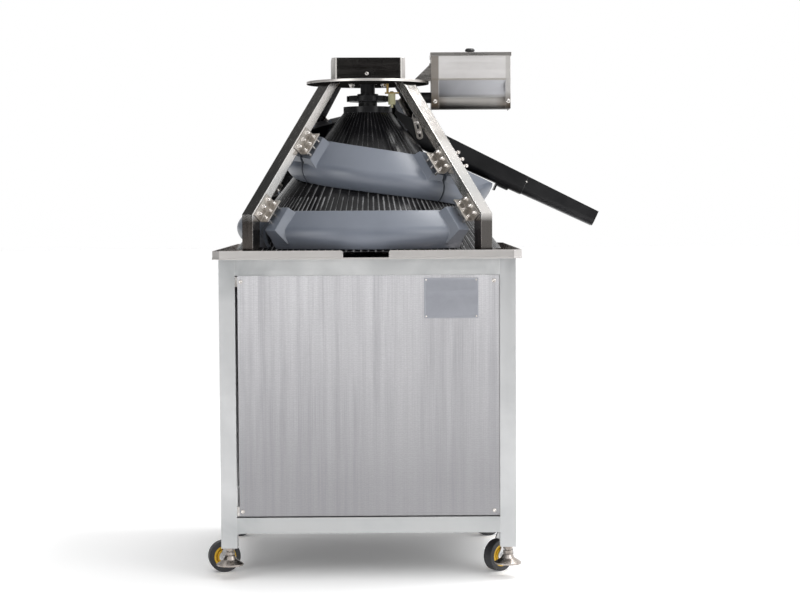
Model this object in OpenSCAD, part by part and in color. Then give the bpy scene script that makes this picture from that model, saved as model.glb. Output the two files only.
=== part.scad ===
// Conical dough rounder: a fluted cone turns inside a rising spiral of cast track segments.
// Millimetres, Z up. The origin is on the ground under the cone's axis, and Y points away from the viewer.

/* [Cabinet] */
// Width and depth over the corner posts
cab_w = 920; // [700:10:1100]
// Height of the top rails' upper faces
cab_top = 1001; // [800:1:1100]
// Side of the square frame tube
tube = 50; // [30:1:70]
// Wall of the frame tube
tube_wall = 2; // [1.5:0.5:4]
// Height of the posts' lower ends
post_low = 100; // [80:1:140]
// Thickness of the plug in a post's lower end
plug_t = 10; // [6:1:20]
// Height of the bottom rails' undersides
rail_low = 146; // [120:1:200]
// Thickness of the sheet panels
panel_t = 2; // [1:0.5:4]
// Depth of a panel behind the tube faces
panel_recess = 3; // [1:0.5:10]
// Gap at a panel's left side
panel_gap_left = 8; // [1:0.5:12]
// Gap at a panel's right side
panel_gap_right = 1; // [1:0.5:12]
// Gap under a panel
panel_gap_low = 4; // [0.5:0.5:10]
// Gap over a panel
panel_gap_top = 0.5; // [0.5:0.5:10]
// Size of the tabs behind the panel corners: width, thickness, height
tab_size = [24, 3, 30];
// Distance from a tab's middle to the rail next to it
tab_off = 19; // [16:1:60]
// Distance of the deck beams' middles from the legs' feet, across
beam_off = 0; // [-40:1:40]
// Distance of the cross beams from the middle plane
beam_y = 95; // [70:5:140]

/* [Cable gland] */
// Place of the gland on the rear panel: across, height
gland_at = [250, 290];
// Radius of the gland's thread
gland_r = 9; // [6:0.5:14]
// Radius of the gland's nuts over corners
gland_nut_r = 14; // [10:0.5:20]
// Height of the gland's nuts
gland_nut_h = 7; // [4:0.5:12]

/* [Tray] */
// Width and depth of the tray
tray_w = 960; // [800:10:1200]
// Height of the tray over its lip
tray_h = 27; // [15:1:50]
// Thickness of the tray's sheet
tray_t = 3; // [1.5:0.5:5]
// Length clipped off each tray corner
tray_clip = 25; // [5:1:60]
// Radius of the hole for the cone shaft
tray_hole_r = 60; // [40:1:100]
// Width of the notch in the front lip
notch_w = 142; // [60:1:200]
// Middle of the notch, left of the axis
notch_x = -3; // [-100:1:100]
// Height of the lip left in the notch
notch_left = 5; // [3:1:12]
// Radius of the lip's corners beside the notch
notch_r = 7; // [2:1:12]
// Projection of the hem along the lip's lower edge
hem_out = 1; // [0.5:0.5:3]
// Height of the hem along the lip's lower edge
hem_h = 5; // [2:1:8]

/* [Tower] */
// Distance of the upright part of a leg from the axis
leg_r = 516; // [450:1:600]
// Width of the leg tube across
leg_w = 50; // [30:1:70]
// Thickness of the leg tube towards the axis
leg_t = 30; // [20:1:50]
// Wall of the leg tube
leg_wall = 2; // [1.5:0.5:4]
// Distance of a sloping leg's middle from the cone's surface
leg_off = 129; // [120:1:180]
// Height of the top plate's underside
plate_low = 1566; // [1400:1:1700]
// Thickness of the top plate
plate_t = 8; // [4:1:16]
// Radius of the top plate
plate_r = 203; // [150:1:260]
// Radius of the hole in the top plate
plate_hole_r = 30; // [26:1:60]
// Side of the bearing's square flange
bearing_w = 108; // [80:1:140]
// Thickness of the bearing's flange
bearing_flange_t = 14; // [8:1:24]
// Radius of the bearing's barrel
bearing_r = 42; // [34:1:60]
// Height of the bearing
bearing_h = 45; // [30:1:60]
// Width, depth and height of the top cover
cover_size = [241, 200, 74];
// Radius of the cover's upright edges
cover_r = 22; // [4:1:40]
// Turn of the cover on the plate, degrees
cover_yaw = 3; // [-10:1:10]
// Thickness of the cover's sheet
cover_wall = 2; // [1:0.5:4]

/* [Cone] */
// Radius of the cone at its top
cone_top_r = 81.6; // [60:0.1:120]
// Height of the cone's top
cone_top = 1471; // [1300:1:1600]
// Height of the cone's bottom
cone_low = 1022; // [1005:1:1080]
// Growth of the radius for each millimetre downwards
cone_share = 0.8; // [0.5:0.05:1.2]
// Thickness of the cone's shell
cone_shell = 14; // [8:1:30]
// Number of long flutes
flutes = 60; // [24:2:90]
// Height where the short flutes begin
short_flute_top = 1195; // [1050:5:1450]
// Length over which a short flute runs out
flute_ramp = 10; // [4:1:40]
// Depth of a flute as a share of the radius
flute_deep_share = 0.011; // [0.004:0.001:0.02]
// Radius of the cone's hub
hub_r = 46; // [36:1:70]
// Height of the hub
hub_h = 110; // [60:5:200]
// Radius of the cone shaft
shaft_r = 24; // [15:1:35]
// Running clearance round shafts and pins
run_gap = 0.05; // [0.02:0.01:0.1]
// Radius of the collar that carries the cone's hub
collar_r = 34; // [28:1:60]
// Height of the collar
collar_h = 20; // [10:1:40]
// Radius of the cap ring
cap_r = 81; // [70:1:110]
// Height of the cap ring
cap_h = 20; // [10:1:40]
// Radius of the trigger disc
disc_r = 70; // [50:1:90]
// Heights of the trigger disc's lower hub, rim and upper hub
disc_heights = [18, 18, 7];
// Radii of the trigger disc's lower and upper hub
disc_hub_radii = [31, 35];
// Number of notches in the trigger disc
disc_notches = 8; // [4:1:16]
// Width and depth of a notch in the trigger disc
disc_notch = [16, 9];

/* [Drive] */
// Radius of the gear unit's flange
gear_flange_r = 110; // [90:1:150]
// Thickness of the gear unit's flange
gear_flange_t = 14; // [8:1:24]
// Width, depth and height of the gear unit's case
gear_size = [180, 150, 170];
// Radius of the gear unit's lower cover
gear_cover_r = 62; // [40:1:75]
// Thickness of the gear unit's lower cover
gear_cover_t = 12; // [6:1:24]
// Radius of the drive motor
motor_r = 70; // [50:1:90]
// Length of the drive motor
motor_len = 230; // [150:5:300]
// Radius of the motor's fan cowl
cowl_r = 75; // [50:1:95]
// Length of the motor's fan cowl
cowl_len = 55; // [30:5:90]
// Width, depth and height of the motor's terminal box
terminal_size = [90, 90, 40];

/* [Tracks] */
// Height of the track's lower edge at its start
track_z = 1027; // [1010:1:1100]
// Height of the track's upper edge at its start
track_top = 1150; // [1100:1:1200]
// Rise of the lower edge up to each leg that the track passes
low_rises = [0, 0, 66, 84, 147, 210, 273, 336];
// Rise of the upper edge up to each leg that the track passes
top_rises = [0, 0, 62, 106, 169.5, 233, 296.5, 360];
// Gap between the track's lip and the cone
lip_gap = 4; // [2:0.5:8]
// Distance of the track's outer wall from the cone
wall_out = 63; // [50:1:90]
// Length of the curl at the track's foot
curl = 45; // [30:1:70]
// Thickness of the track's wall
wall_t = 12; // [8:1:20]
// Thickness of the wall at its upper edge
rim_t = 7; // [4:1:12]
// Extra width of the right-hand segment at its middle
belly = 58; // [0:1:70]
// Loss of width of the lower left-hand segment at its middle
tuck = 16; // [0:1:25]
// Turn at each end of these segments that keeps the plain section, degrees
belly_plain = 20; // [15:1:35]
// Distance of a segment's end from the leg's middle plane
end_gap = 3; // [2:1:25]
// The same distance for the lowest segment, in front
entry_gap = 32; // [4:1:40]
// Face of an end boss: distance from the cone
boss_out = 80; // [70:1:100]
// Distance of an end boss from the end of its segment
boss_inset = 4; // [3:1:10]
// Width of an end boss's face along the track
boss_w = 46; // [30:1:60]
// Length of an end boss's face up the cone
boss_len = 91; // [60:1:120]
// Run of an end boss's side slope along the track
boss_flare = 16; // [8:1:60]
// Run of an end boss's underside slope
boss_under = 14; // [5:1:40]
// Depth of an end boss's foot in the wall
boss_bury = 8; // [4:1:10]
// Side, thickness and length of the angle brackets
bracket_size = [36, 4, 84];
// Distance of the brackets' inner face from the cone
bracket_out = 102; // [90:1:112]
// Drop of a bracket's middle below the track's upper edge, on the first turn and above it
bracket_drops = [2, 22];
// Radius of the track studs
stud_r = 4; // [3:0.5:6]
// Distance of the studs from the leg's middle plane
stud_y = 46; // [36:1:60]
// Distance between the studs
stud_step = 28; // [15:1:40]

/* [Chute] */
// Point on the near wall's upper edge: across, from the axis to the near wall, height
chute_at = [280, 15, 1387];
// Slope of the chute, degrees
chute_slope = 26.7; // [15:0.1:40]
// Width of the chute
chute_w = 110; // [80:1:160]
// Depth of the chute at its inlet
chute_h = 82; // [50:1:120]
// Radius of the chute's lower corners
chute_corner_r = 26; // [8:1:40]
// Thickness of the chute's wall
chute_t = 3; // [2:0.5:6]
// Start and end of the upper trough along the slope
chute_span = [-210, 290];
// Length by which the far wall starts after the near one
chute_skew = 65; // [0:1:120]
// Start and end of the lower trough along the slope
ext_span = [262, 551];
// Depth of the chute at its outlet
ext_end_h = 55; // [40:1:80]
// Height of the hems along the chute's upper edges
chute_hem_h = 6; // [3:1:12]
// Thickness of the hems along the chute's upper edges
chute_hem_t = 5; // [3:1:10]
// Gap between the chute and the cone
chute_gap = 7; // [5:0.5:15]
// Play between the two troughs
nest_gap = 0.3; // [0.2:0.05:0.6]
// Place of the chute bracket along the slope
lug_u = 200; // [150:1:260]
// Width, thickness and length of the chute bracket
lug_size = [70, 6, 24];
// Length of the chute bracket's foot under the trough
lug_foot = 44; // [20:1:80]
// Width of the slotted strap
strap_w = 22; // [14:1:40]
// Thickness of the slotted strap
strap_t = 3; // [2:0.5:6]
// Distance between the middles of the strap's round ends
strap_len = 69; // [50:1:120]
// Lean of the strap, degrees
strap_lean = 12; // [0:1:30]
// Width and length of a slot in the strap
slot_size = [8, 20];
// Depths of the slots' upper ends below the crossbar
slot_drops = [24, 52];
// Place of the crossbar: across, height
bar_at = [158, 1462];
// Radius of the crossbar between the legs
bar_r = 8; // [5:0.5:14]
// Length of the crossbar before it is fitted to the legs
bar_len = 369; // [350:1:400]

/* [Flour duster] */
// Left, near and upper corner of the duster box
duster_at = [210, -80, 1663];
// Width and depth of the duster box
duster_size = [260, 160];
// Thickness of the duster's sheet
duster_t = 2; // [1:0.5:4]
// Height of the fold in the duster's front
fold_z = 1577; // [1550:1:1620]
// Height of the roller's middle
roller_z = 1521; // [1500:1:1550]
// Radius of the duster's round bottom
trough_r = 40; // [30:1:60]
// Width of the slot in the round bottom
flour_slot = 10; // [4:1:30]
// Width of the front flanges, left and right
flange_widths = [25, 17];
// Radius of the roller
roller_r = 34; // [25:1:50]
// Radius of the roller's shaft
roller_shaft_r = 8; // [5:0.5:12]
// Number of grooves in the roller
roller_grooves = 12; // [6:1:24]
// Radius of a roller groove
groove_r = 4; // [2:0.5:8]
// Thickness of the lid's edge
lid_edge = 12; // [6:1:25]
// Play between the lid's edge and the box
lid_play = 1; // [0.5:0.5:4]
// Radius and height of the lid's knob
knob_size = [16, 18];
// Radius of the knob's neck
knob_neck_r = 8; // [5:0.5:12]
// Radius of the duster's motor
duster_motor_r = 18; // [12:1:30]
// Length of the duster's motor
duster_motor_len = 44; // [20:1:60]
// Length of the roller shaft in the motor
shaft_in_motor = 14; // [8:1:30]
// Length of the duster's arm on the plate
arm_len = 54; // [30:1:90]
// Width of the duster's arm
arm_w = 90; // [40:1:140]
// Height of the duster's arm
arm_h = 58; // [30:1:80]
// Thickness of the arm's sheet
arm_t = 6; // [3:1:10]

/* [Sensor] */
// Place of the sensor beside the trigger disc
sensor_at = [80, -42];
// Radius of the sensor
sensor_r = 12; // [6:1:20]
// Distance of the sensor's upper end below the top plate
sensor_drop = 33; // [20:1:60]
// Length of the sensor
sensor_len = 36; // [20:1:60]
// Radius and length of the sensor's tip
tip_size = [4, 10];
// Radius of the sensor's threaded neck
neck_r = 6; // [4:0.5:9]
// Width, depth and thickness of the sensor's bracket
sensor_plate = [46, 32, 4];
// Radius of the rod that holds the bracket
sensor_rod_r = 4; // [2:0.5:8]
// Distance of the rod from the sensor
sensor_rod_x = -14; // [-30:1:30]

/* [Feet and casters] */
// Height of the feet's undersides when wound up
foot_low = 44; // [10:1:60]
// Radius of a foot
foot_r = 42; // [30:1:60]
// Radius of a foot's stem
stem_r = 8; // [6:0.5:12]
// Top of a foot's stem inside the post
stem_top = 170; // [140:1:220]
// Heights of the foot's rim, its bell and its neck
foot_heights = [5, 18, 30];
// Radius of a foot's jam nut over corners
nut_r = 15; // [12:0.5:20]
// Height of a jam nut
nut_h = 10; // [6:1:14]
// Gap between the two jam nuts
nut_gap = 4; // [1:0.5:10]
// Place of a caster's swivel axis across and along the cabinet
caster_at = [435, 307];
// Rest heading of each caster's wheel, degrees
caster_headings = [195, 220, 165, 200];
// Distance of a wheel behind its swivel axis
trail = 30; // [15:1:50]
// Radius of a caster's tyre
tyre_r = 50; // [40:1:80]
// Width of a caster's tyre
tyre_w = 32; // [20:1:45]
// Radius of a caster's hub
wheel_hub_r = 35; // [24:1:40]
// Width of the hub's rim
hub_rim_w = 6; // [3:0.5:10]
// Radius of the hub's middle
hub_boss_r = 24; // [16:1:30]
// Width, depth and thickness of a caster's plate
caster_plate = [64, 80, 5];
// Radius of the fixed raceway
raceway_r = 24; // [18:1:32]
// Height of the fork's upper face
fork_top = 130.7; // [120:0.1:140]
// Radius of the fork's head
fork_r = 27; // [20:1:36]
// Thickness of the fork's head
fork_head_t = 11; // [6:1:16]
// Thickness of a fork cheek
cheek_t = 4; // [3:0.5:8]
// Play between the hub and a cheek
cheek_play = 1; // [0.5:0.5:3]
// Radius of the kingpin
kingpin_r = 7; // [5:0.5:10]
// Radius of the wheel's axle
axle_r = 6; // [4:0.5:10]
// Radius of the fork cheek round the axle
cheek_r = 19; // [9:1:24]

/* [Hidden] */
$fn = 64;
steel = [0.76, 0.77, 0.79];
black = [0.1, 0.1, 0.11];
grey = [0.47, 0.49, 0.53];
dark = [0.2, 0.2, 0.21];
yellow = [0.9, 0.7, 0.08];
cream = [0.72, 0.7, 0.5];
brass = [0.72, 0.58, 0.3];
blue = [0.25, 0.33, 0.45];
// A little length by which cuts run past a face
eps = 1;
// Number of steps along a track segment, and round its curl
track_steps = 20;
curl_steps = 6;
// Edge, bottom and edge of one flute across its pitch
flute_step_shares = [0, 0.2, 0.4];
// Loss of a clipped corner when its outline moves inwards
clip_share = 2 - sqrt(2);
half = cab_w / 2;
post_at = half - tube / 2;
inner_half = half - tube;
tray_floor = cab_top + tray_t;
alpha = atan(cone_share);
plate_top = plate_low + plate_t;
collar_top = cone_top - hub_h;
cap_top = cone_top + cap_h;
bore_r = shaft_r + run_gap;
beam_low = cab_top - tube;
gear_low = beam_low - gear_flange_t - gear_size[2];
motor_z = gear_low + gear_size[2] / 2;
shaft_low = gear_low + gear_cover_t;
shaft_top = plate_top + bearing_h - plate_t;
wheel_z = tyre_r;
duster_left = duster_at[0];
duster_right = duster_at[0] + duster_size[0];
duster_near = duster_at[1];
duster_far = duster_at[1] + duster_size[1];
duster_top = duster_at[2];
corners = [[-1, -1], [1, -1], [-1, 1], [1, 1]];
legs = [-45, 45, 135, 225];
beam_x = leg_r * cos(legs[0]) + beam_off;
sensor_top = plate_low - sensor_drop;
sensor_low = sensor_top - sensor_len;
// Lean of the chute's floor to its upper edges
chute_taper = atan((chute_h - ext_end_h) / (ext_span[1] - chute_span[0]));

// Radius of the cone's surface at a height
function cone_r(z) = cone_top_r + cone_share * (cone_top - z);

// Height of a line that lies off from the cone's surface, where it reaches a radius
function slope_z(r, off) = cone_top - (r - off / cos(alpha) - cone_top_r) / cone_share;

// Outline of a square with clipped corners
function clipped(h, c) = [
    [h, c - h], [h, h - c], [h - c, h], [c - h, h],
    [-h, h - c], [-h, c - h], [c - h, -h], [h - c, -h]
];

// One ring of the fluted cone, with its own depth of long and short flutes
function flute_ring(r, z, deep_long, deep_short) = [
    for (i = [0:2 * flutes - 1], k = [0:2])
        let (a = (i + flute_step_shares[k]) * 180 / flutes,
            deep = i % 2 == 0 ? deep_long : deep_short,
            rr = k == 1 ? r - deep : r)
        [rr * cos(a), rr * sin(a), z]
];

// Two faces between each point of a ring and the next ring
function band_faces(points, from, to) = [
    for (i = [0:points - 1]) let (j = (i + 1) % points)
        each [
            [from * points + i, to * points + i, to * points + j],
            [from * points + i, to * points + j, from * points + j]
        ]
];

// Faces of a closed loop of rings with the same number of points
function loop_faces(rings, points) = [
    for (k = [0:rings - 1]) each band_faces(points, k, (k + 1) % rings)
];

// Faces of a bar made of rings with the same number of points
function ring_faces(rings, points) = concat(
    [[for (i = [0:points - 1]) i]],
    [for (k = [0:rings - 2]) each band_faces(points, k, k + 1)],
    [[for (i = [points - 1:-1:0]) (rings - 1) * points + i]]
);

// Height of the track's lower and upper edge after a turn
function track_low(turn) = track_z + lookup(turn / 90, [for (i = [0:7]) [i, low_rises[i]]]);
function track_high(turn) = track_top + lookup(turn / 90, [for (i = [0:7]) [i, top_rises[i]]]);

// Smooth step from 0 to 1
function smooth(t) = let (c = min(1, max(0, t))) c * c * (3 - 2 * c);

// Part of a change of width that is reached at a turn, for a segment with its first turn
function swell(turn, first) = let (near_end = min(turn - first, first + 90 - turn))
    smooth((near_end - belly_plain) / (45 - belly_plain));

// Distance of the outer wall from the cone
function wall_at(turn) = wall_out + belly * swell(turn, 270) - tuck * swell(turn, 90);

// Distance of a segment's ends from the legs' middle planes
function gap_at(i) = i == 0 ? entry_gap : end_gap;

// Depth of the chute at a place along the slope
function chute_deep(u) = chute_h - tan(chute_taper) * (u - chute_span[0]);

// Length of the track's section up the cone
function wall_top(turn) =
    (track_high(turn) - track_low(turn) - wall_at(turn) * sin(alpha)) / cos(alpha);

// Distance of the outer surface from the cone, at a length up the section
function skin(s) = s >= curl ? wall_out
    : lip_gap + (wall_out - lip_gap) * sqrt(1 - pow(1 - s / curl, 2));

// Section of the track: length up the cone and distance from it
function track_section(turn) = let (w = wall_at(turn), s = wall_top(turn)) concat(
    [for (k = [0:curl_steps]) let (t = 90 * k / curl_steps)
        [curl * (1 - cos(t)), lip_gap + (w - lip_gap) * sin(t)]],
    [[s, w], [s, w - rim_t]],
    [for (k = [curl_steps:-1:0]) let (t = 90 * k / curl_steps)
        [wall_t + (curl - wall_t) * (1 - cos(t)), lip_gap + (w - wall_t - lip_gap) * sin(t)]]
);

// A point of the section in space
function track_point(turn, p) =
    let (z = track_low(turn), a = legs[0] - turn,
        r = cone_r(z) - p[0] * sin(alpha) + p[1] * cos(alpha))
    [r * cos(a), r * sin(a), z + p[0] * cos(alpha) + p[1] * sin(alpha)];

// Turn that a length along the track takes up
function arc_turn(turn, length) = length / cone_r(track_low(turn)) * 180 / PI;

// Rise of the upper edge of a segment for each millimetre along the track, near a turn
function rim_slope(i, turn) = (top_rises[i + 1] - top_rises[i]) * 2 / PI / cos(alpha)
    / (cone_r(track_high(turn)) + wall_out / cos(alpha));

// Length up the section where a bracket has its middle
function bracket_s(turn) = let (drop = lookup(turn / 90, [[1, bracket_drops[0]], [4, bracket_drops[1]]]))
    (track_high(turn) - drop - track_low(turn) - bracket_out * sin(alpha)) / cos(alpha);

// Frame in a leg's middle plane: X off the cone's surface, Z up the cone
module leg_frame(turn) {
    rotate([0, 0, legs[0] - turn])
        translate([cone_r(track_low(turn)), 0, track_low(turn)])
            rotate([0, -alpha, 0])
                children();
}

// Frame of the chute: X down the slope, Z square to it, at the near wall's upper edge
module chute_frame() {
    translate(chute_at)
        rotate([0, chute_slope, 0])
            children();
}

// Frame of one caster: X points to the wheel
module caster_frame(i) {
    translate([corners[i][0] * caster_at[0], corners[i][1] * caster_at[1], 0])
        rotate([0, 0, caster_headings[i]])
            children();
}

// Frame of one caster's wheel: Z along the axle
module wheel_frame(i) {
    caster_frame(i)
        translate([trail, 0, wheel_z])
            rotate([90, 0, 0])
                children();
}

// A length of square tube along X, centred
module tube_x(length) {
    rotate([0, 90, 0])
        linear_extrude(height = length, center = true)
            difference() {
                square(tube, center = true);
                square(tube - 2 * tube_wall, center = true);
            }
}

// Four rails round the cabinet at a height
module rail_ring(z) {
    for (a = [0:90:270])
        rotate([0, 0, a])
            translate([0, -post_at, z + tube / 2])
                tube_x(2 * inner_half);
}

// One sheet panel, drawn at the front
module panel() {
    w = 2 * inner_half - panel_gap_left - panel_gap_right;
    low = rail_low + tube + panel_gap_low;
    translate([panel_gap_left - inner_half, panel_recess - half, low])
        cube([w, panel_t, beam_low - panel_gap_top - low]);
}

// Plan of a leg's side, seen across its width
module leg_side(grow) {
    t = leg_t / 2 + grow;
    low = tray_floor;
    polygon([
        [leg_r + t, low],
        [leg_r + t, slope_z(leg_r + t, leg_off + t)],
        [cone_r(plate_low) + (leg_off + t) / cos(alpha), plate_low],
        [cone_r(plate_low) + (leg_off - t) / cos(alpha), plate_low],
        [leg_r - t, slope_z(leg_r - t, leg_off - t)],
        [leg_r - t, low]
    ]);
}

// The four legs as solid bars
module leg_bars() {
    for (a = legs)
        rotate([0, 0, a])
            rotate([90, 0, 0])
                linear_extrude(height = leg_w, center = true)
                    leg_side(0);
}

// Raised boss at a segment's end, drawn on the positive side of a leg
module end_boss(turn, slope, gap) {
    boss_span = [gap + boss_inset, gap + boss_inset + boss_w];
    top = wall_top(turn);
    low = top - boss_len;
    foot = max(low - boss_under, boss_under / 2);
    far = boss_span[1] + boss_flare;
    sag = far * far / (2 * (cone_r(track_low(turn)) + wall_out)) * cos(alpha);
    lean = [for (y = [boss_span[0], boss_span[1], far]) slope * y];
    polyhedron(
        points = [
            [boss_out, boss_span[0], low + lean[0]],
            [boss_out, boss_span[1], low + lean[1]],
            [boss_out, boss_span[1], top + lean[1]],
            [boss_out, boss_span[0], top + lean[0]],
            [skin(foot) - boss_bury, boss_span[0], foot + lean[0]],
            [skin(foot) - boss_bury - sag, far, foot + lean[2]],
            [wall_out - boss_bury - sag, far, top + lean[2]],
            [wall_out - boss_bury, boss_span[0], top + lean[0]]
        ],
        faces = [
            [3, 2, 1], [3, 1, 0],
            [4, 5, 6], [4, 6, 7],
            [0, 1, 5], [0, 5, 4],
            [1, 2, 6], [1, 6, 5],
            [2, 3, 7], [2, 7, 6],
            [3, 0, 4], [3, 4, 7]
        ]
    );
}

// Space that the chute needs above the right-hand segment, open to the front
module chute_room() {
    chute_frame()
        translate([chute_span[0], -leg_r, -chute_h - chute_gap])
            rotate([0, -chute_taper, 0])
                cube([ext_span[1] - chute_span[0], leg_r + chute_w + chute_gap, chute_h + chute_gap + leg_r]);
}

// Section of a trough, open above: width and depth, with round lower corners
module trough_section(w, h, r) {
    translate([r, -h])
        square([w - 2 * r, h]);
    translate([0, r - h])
        square([w, h - r]);
    for (y = [r, w - r])
        translate([y, r - h])
            circle(r);
}

// A length of trough along X, with walls of the chute's thickness
module trough_x(length, w, h, r) {
    rotate([90, 0, 90])
        difference() {
            linear_extrude(height = length)
                trough_section(w, h, r);
            translate([chute_t, 0, -eps])
                linear_extrude(height = length + 2 * eps)
                    translate([0, chute_t])
                        trough_section(w - 2 * chute_t, h, r - chute_t);
        }
}

// A trough from a place along the slope, with the chute's sloped floor and a level upper edge
module sloped_trough(u, length, inset) {
    h = chute_deep(u) - inset;
    difference() {
        translate([0, 0, -h])
            rotate([0, -chute_taper, 0])
                translate([0, 0, h])
                    trough_x(length, chute_w - 2 * inset, h, chute_corner_r - inset);
        translate([-tube, -eps, 0])
            cube([length + 2 * tube, chute_w + 2 * eps, chute_h]);
    }
}

// Sheet of the duster box, seen from its end
module duster_profile(grow) {
    near = duster_near - grow;
    far = duster_far + grow;
    mid = (near + far) / 2;
    r = trough_r + grow;
    union() {
        polygon([
            [near, duster_top], [near, fold_z], [mid - r, roller_z],
            [mid + r, roller_z], [far, fold_z], [far, duster_top]
        ]);
        translate([mid, roller_z])
            circle(r);
    }
}

// Cabinet posts with bored plugs for the feet
module corner_posts() {
    color(steel)
        for (c = corners)
            translate([c[0] * post_at, c[1] * post_at, post_low])
                difference() {
                    linear_extrude(height = cab_top - post_low)
                        square(tube, center = true);
                    translate([0, 0, plug_t])
                        linear_extrude(height = cab_top)
                            square(tube - 2 * tube_wall, center = true);
                    translate([0, 0, -eps])
                        cylinder(r = stem_r + run_gap, h = plug_t + 2 * eps);
                }
}

// Rails round the cabinet's top
module top_rails() {
    color(steel)
        rail_ring(beam_low);
}

// Rails round the cabinet's foot
module bottom_rails() {
    color(steel)
        rail_ring(rail_low);
}

// Beams under the tray that carry the legs and the gear unit
module drive_beams() {
    color(steel) {
        for (side = [-1, 1])
            translate([side * beam_x, 0, beam_low + tube / 2])
                rotate([0, 0, 90])
                    tube_x(2 * inner_half);
        for (side = [-1, 1])
            translate([0, side * beam_y, beam_low + tube / 2])
                tube_x(2 * beam_x - tube);
    }
}

// Plates, raceways and kingpins of the casters
module caster_plates() {
    head_low = fork_top - fork_head_t;
    color(steel)
        for (c = corners)
            translate([c[0] * caster_at[0], c[1] * caster_at[1], 0]) {
                translate([-caster_plate[0] / 2, -caster_plate[1] / 2, rail_low - caster_plate[2]])
                    cube(caster_plate);
                translate([0, 0, fork_top + nest_gap])
                    cylinder(r = raceway_r, h = rail_low - caster_plate[2] - fork_top - nest_gap);
                translate([0, 0, head_low - nest_gap])
                    cylinder(r = kingpin_r, h = rail_low - head_low);
                translate([0, 0, head_low - nest_gap - cheek_t])
                    cylinder(r = 2 * kingpin_r, h = cheek_t);
            }
}

// Front panel
module front_panel() {
    color(steel)
        panel();
}

// Rear panel with the hole of the cable gland
module rear_panel() {
    color(steel)
        difference() {
            rotate([0, 0, 180])
                panel();
            gland_frame()
                translate([0, 0, -tube])
                    cylinder(r = gland_r + nest_gap, h = 2 * tube);
        }
}

// Left panel
module left_panel() {
    color(steel)
        rotate([0, 0, -90])
            panel();
}

// Right panel
module right_panel() {
    color(steel)
        rotate([0, 0, 90])
            panel();
}

// Tabs on the posts behind the panel corners
module panel_tabs() {
    low = rail_low + tube + tab_off;
    high = beam_low - tab_off;
    color(steel)
        for (a = [0:90:270], side = [-1, 1], z = [low, high])
            rotate([0, 0, a])
                translate([side * (inner_half - tab_size[0] / 2),
                    panel_recess + panel_t + tab_size[1] / 2 - half, z])
                    cube(tab_size, center = true);
}

// Frame on the rear panel's outer face: Z points out of the cabinet
module gland_frame() {
    translate([gland_at[0], half - panel_recess, gland_at[1]])
        rotate([-90, 0, 0])
            children();
}

// Cable gland
module cable_gland() {
    color(black)
        gland_frame()
            difference() {
                union() {
                    cylinder(r = gland_nut_r, h = gland_nut_h, $fn = 6);
                    cylinder(r = gland_r + cheek_t / 2, h = 2 * gland_nut_h);
                    translate([0, 0, -2 * gland_nut_h])
                        cylinder(r = gland_r, h = 2 * gland_nut_h);
                    translate([0, 0, -panel_t - gland_nut_h])
                        cylinder(r = gland_nut_r, h = gland_nut_h, $fn = 6);
                }
                translate([0, 0, -tube])
                    cylinder(r = gland_r - tray_t, h = 2 * tube);
            }
}

// Tray with a turned-up lip, hemmed below and notched at the front
module tray() {
    h = tray_w / 2;
    inset = tray_t + hem_out;
    color(steel)
        difference() {
            union() {
                translate([0, 0, cab_top])
                    linear_extrude(height = hem_h)
                        polygon(clipped(h, tray_clip));
                translate([0, 0, cab_top])
                    linear_extrude(height = tray_h)
                        polygon(clipped(h - hem_out, tray_clip - clip_share * hem_out));
            }
            translate([0, 0, tray_floor])
                linear_extrude(height = tray_h)
                    polygon(clipped(h - inset, tray_clip - clip_share * inset));
            translate([0, 0, cab_top - eps])
                cylinder(r = tray_hole_r, h = tray_h);
            translate([notch_x - notch_w / 2, -h - eps, cab_top + notch_left])
                cube([notch_w, inset + 2 * eps, tray_h]);
            for (side = [-1, 1])
                translate([notch_x + side * (notch_w / 2 + notch_r), -h, cab_top + tray_h - notch_r])
                    rotate([90, 0, 0])
                        linear_extrude(height = 4 * inset, center = true)
                            difference() {
                                translate([side > 0 ? -notch_r - eps : 0, 0])
                                    square([notch_r + eps, notch_r + eps]);
                                circle(notch_r);
                            }
        }
}

// Four legs of bent rectangular tube
module tower_legs() {
    color(steel)
        for (a = legs)
            rotate([0, 0, a])
                rotate([90, 0, 0])
                    difference() {
                        linear_extrude(height = leg_w, center = true)
                            leg_side(0);
                        linear_extrude(height = leg_w - 2 * leg_wall, center = true)
                            leg_side(-leg_wall);
                    }
}

// Round plate on the legs
module top_plate() {
    color(steel)
        difference() {
            translate([0, 0, plate_low])
                cylinder(r = plate_r, h = plate_t);
            translate([0, 0, plate_low - eps])
                cylinder(r = plate_hole_r, h = plate_t + 2 * eps);
        }
}

// Flange bearing of the cone shaft
module top_bearing() {
    color(dark)
        difference() {
            translate([0, 0, plate_top]) {
                translate([-bearing_w / 2, -bearing_w / 2, 0])
                    cube([bearing_w, bearing_w, bearing_flange_t]);
                cylinder(r = bearing_r, h = bearing_h);
            }
            translate([0, 0, plate_top - eps])
                cylinder(r = bore_r, h = bearing_h + 2 * eps);
        }
}

// Plan of the cover, with round corners
module cover_plan(wall) {
    offset(cover_r - wall)
        square([cover_size[0] - 2 * cover_r, cover_size[1] - 2 * cover_r], center = true);
}

// Sheet cover over the bearing
module top_cover() {
    color(steel)
        translate([0, 0, plate_top])
            rotate([0, 0, cover_yaw])
                difference() {
                    linear_extrude(height = cover_size[2])
                        cover_plan(0);
                    translate([0, 0, -eps])
                        linear_extrude(height = cover_size[2] - cover_wall + eps)
                            cover_plan(cover_wall);
                }
}

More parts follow.
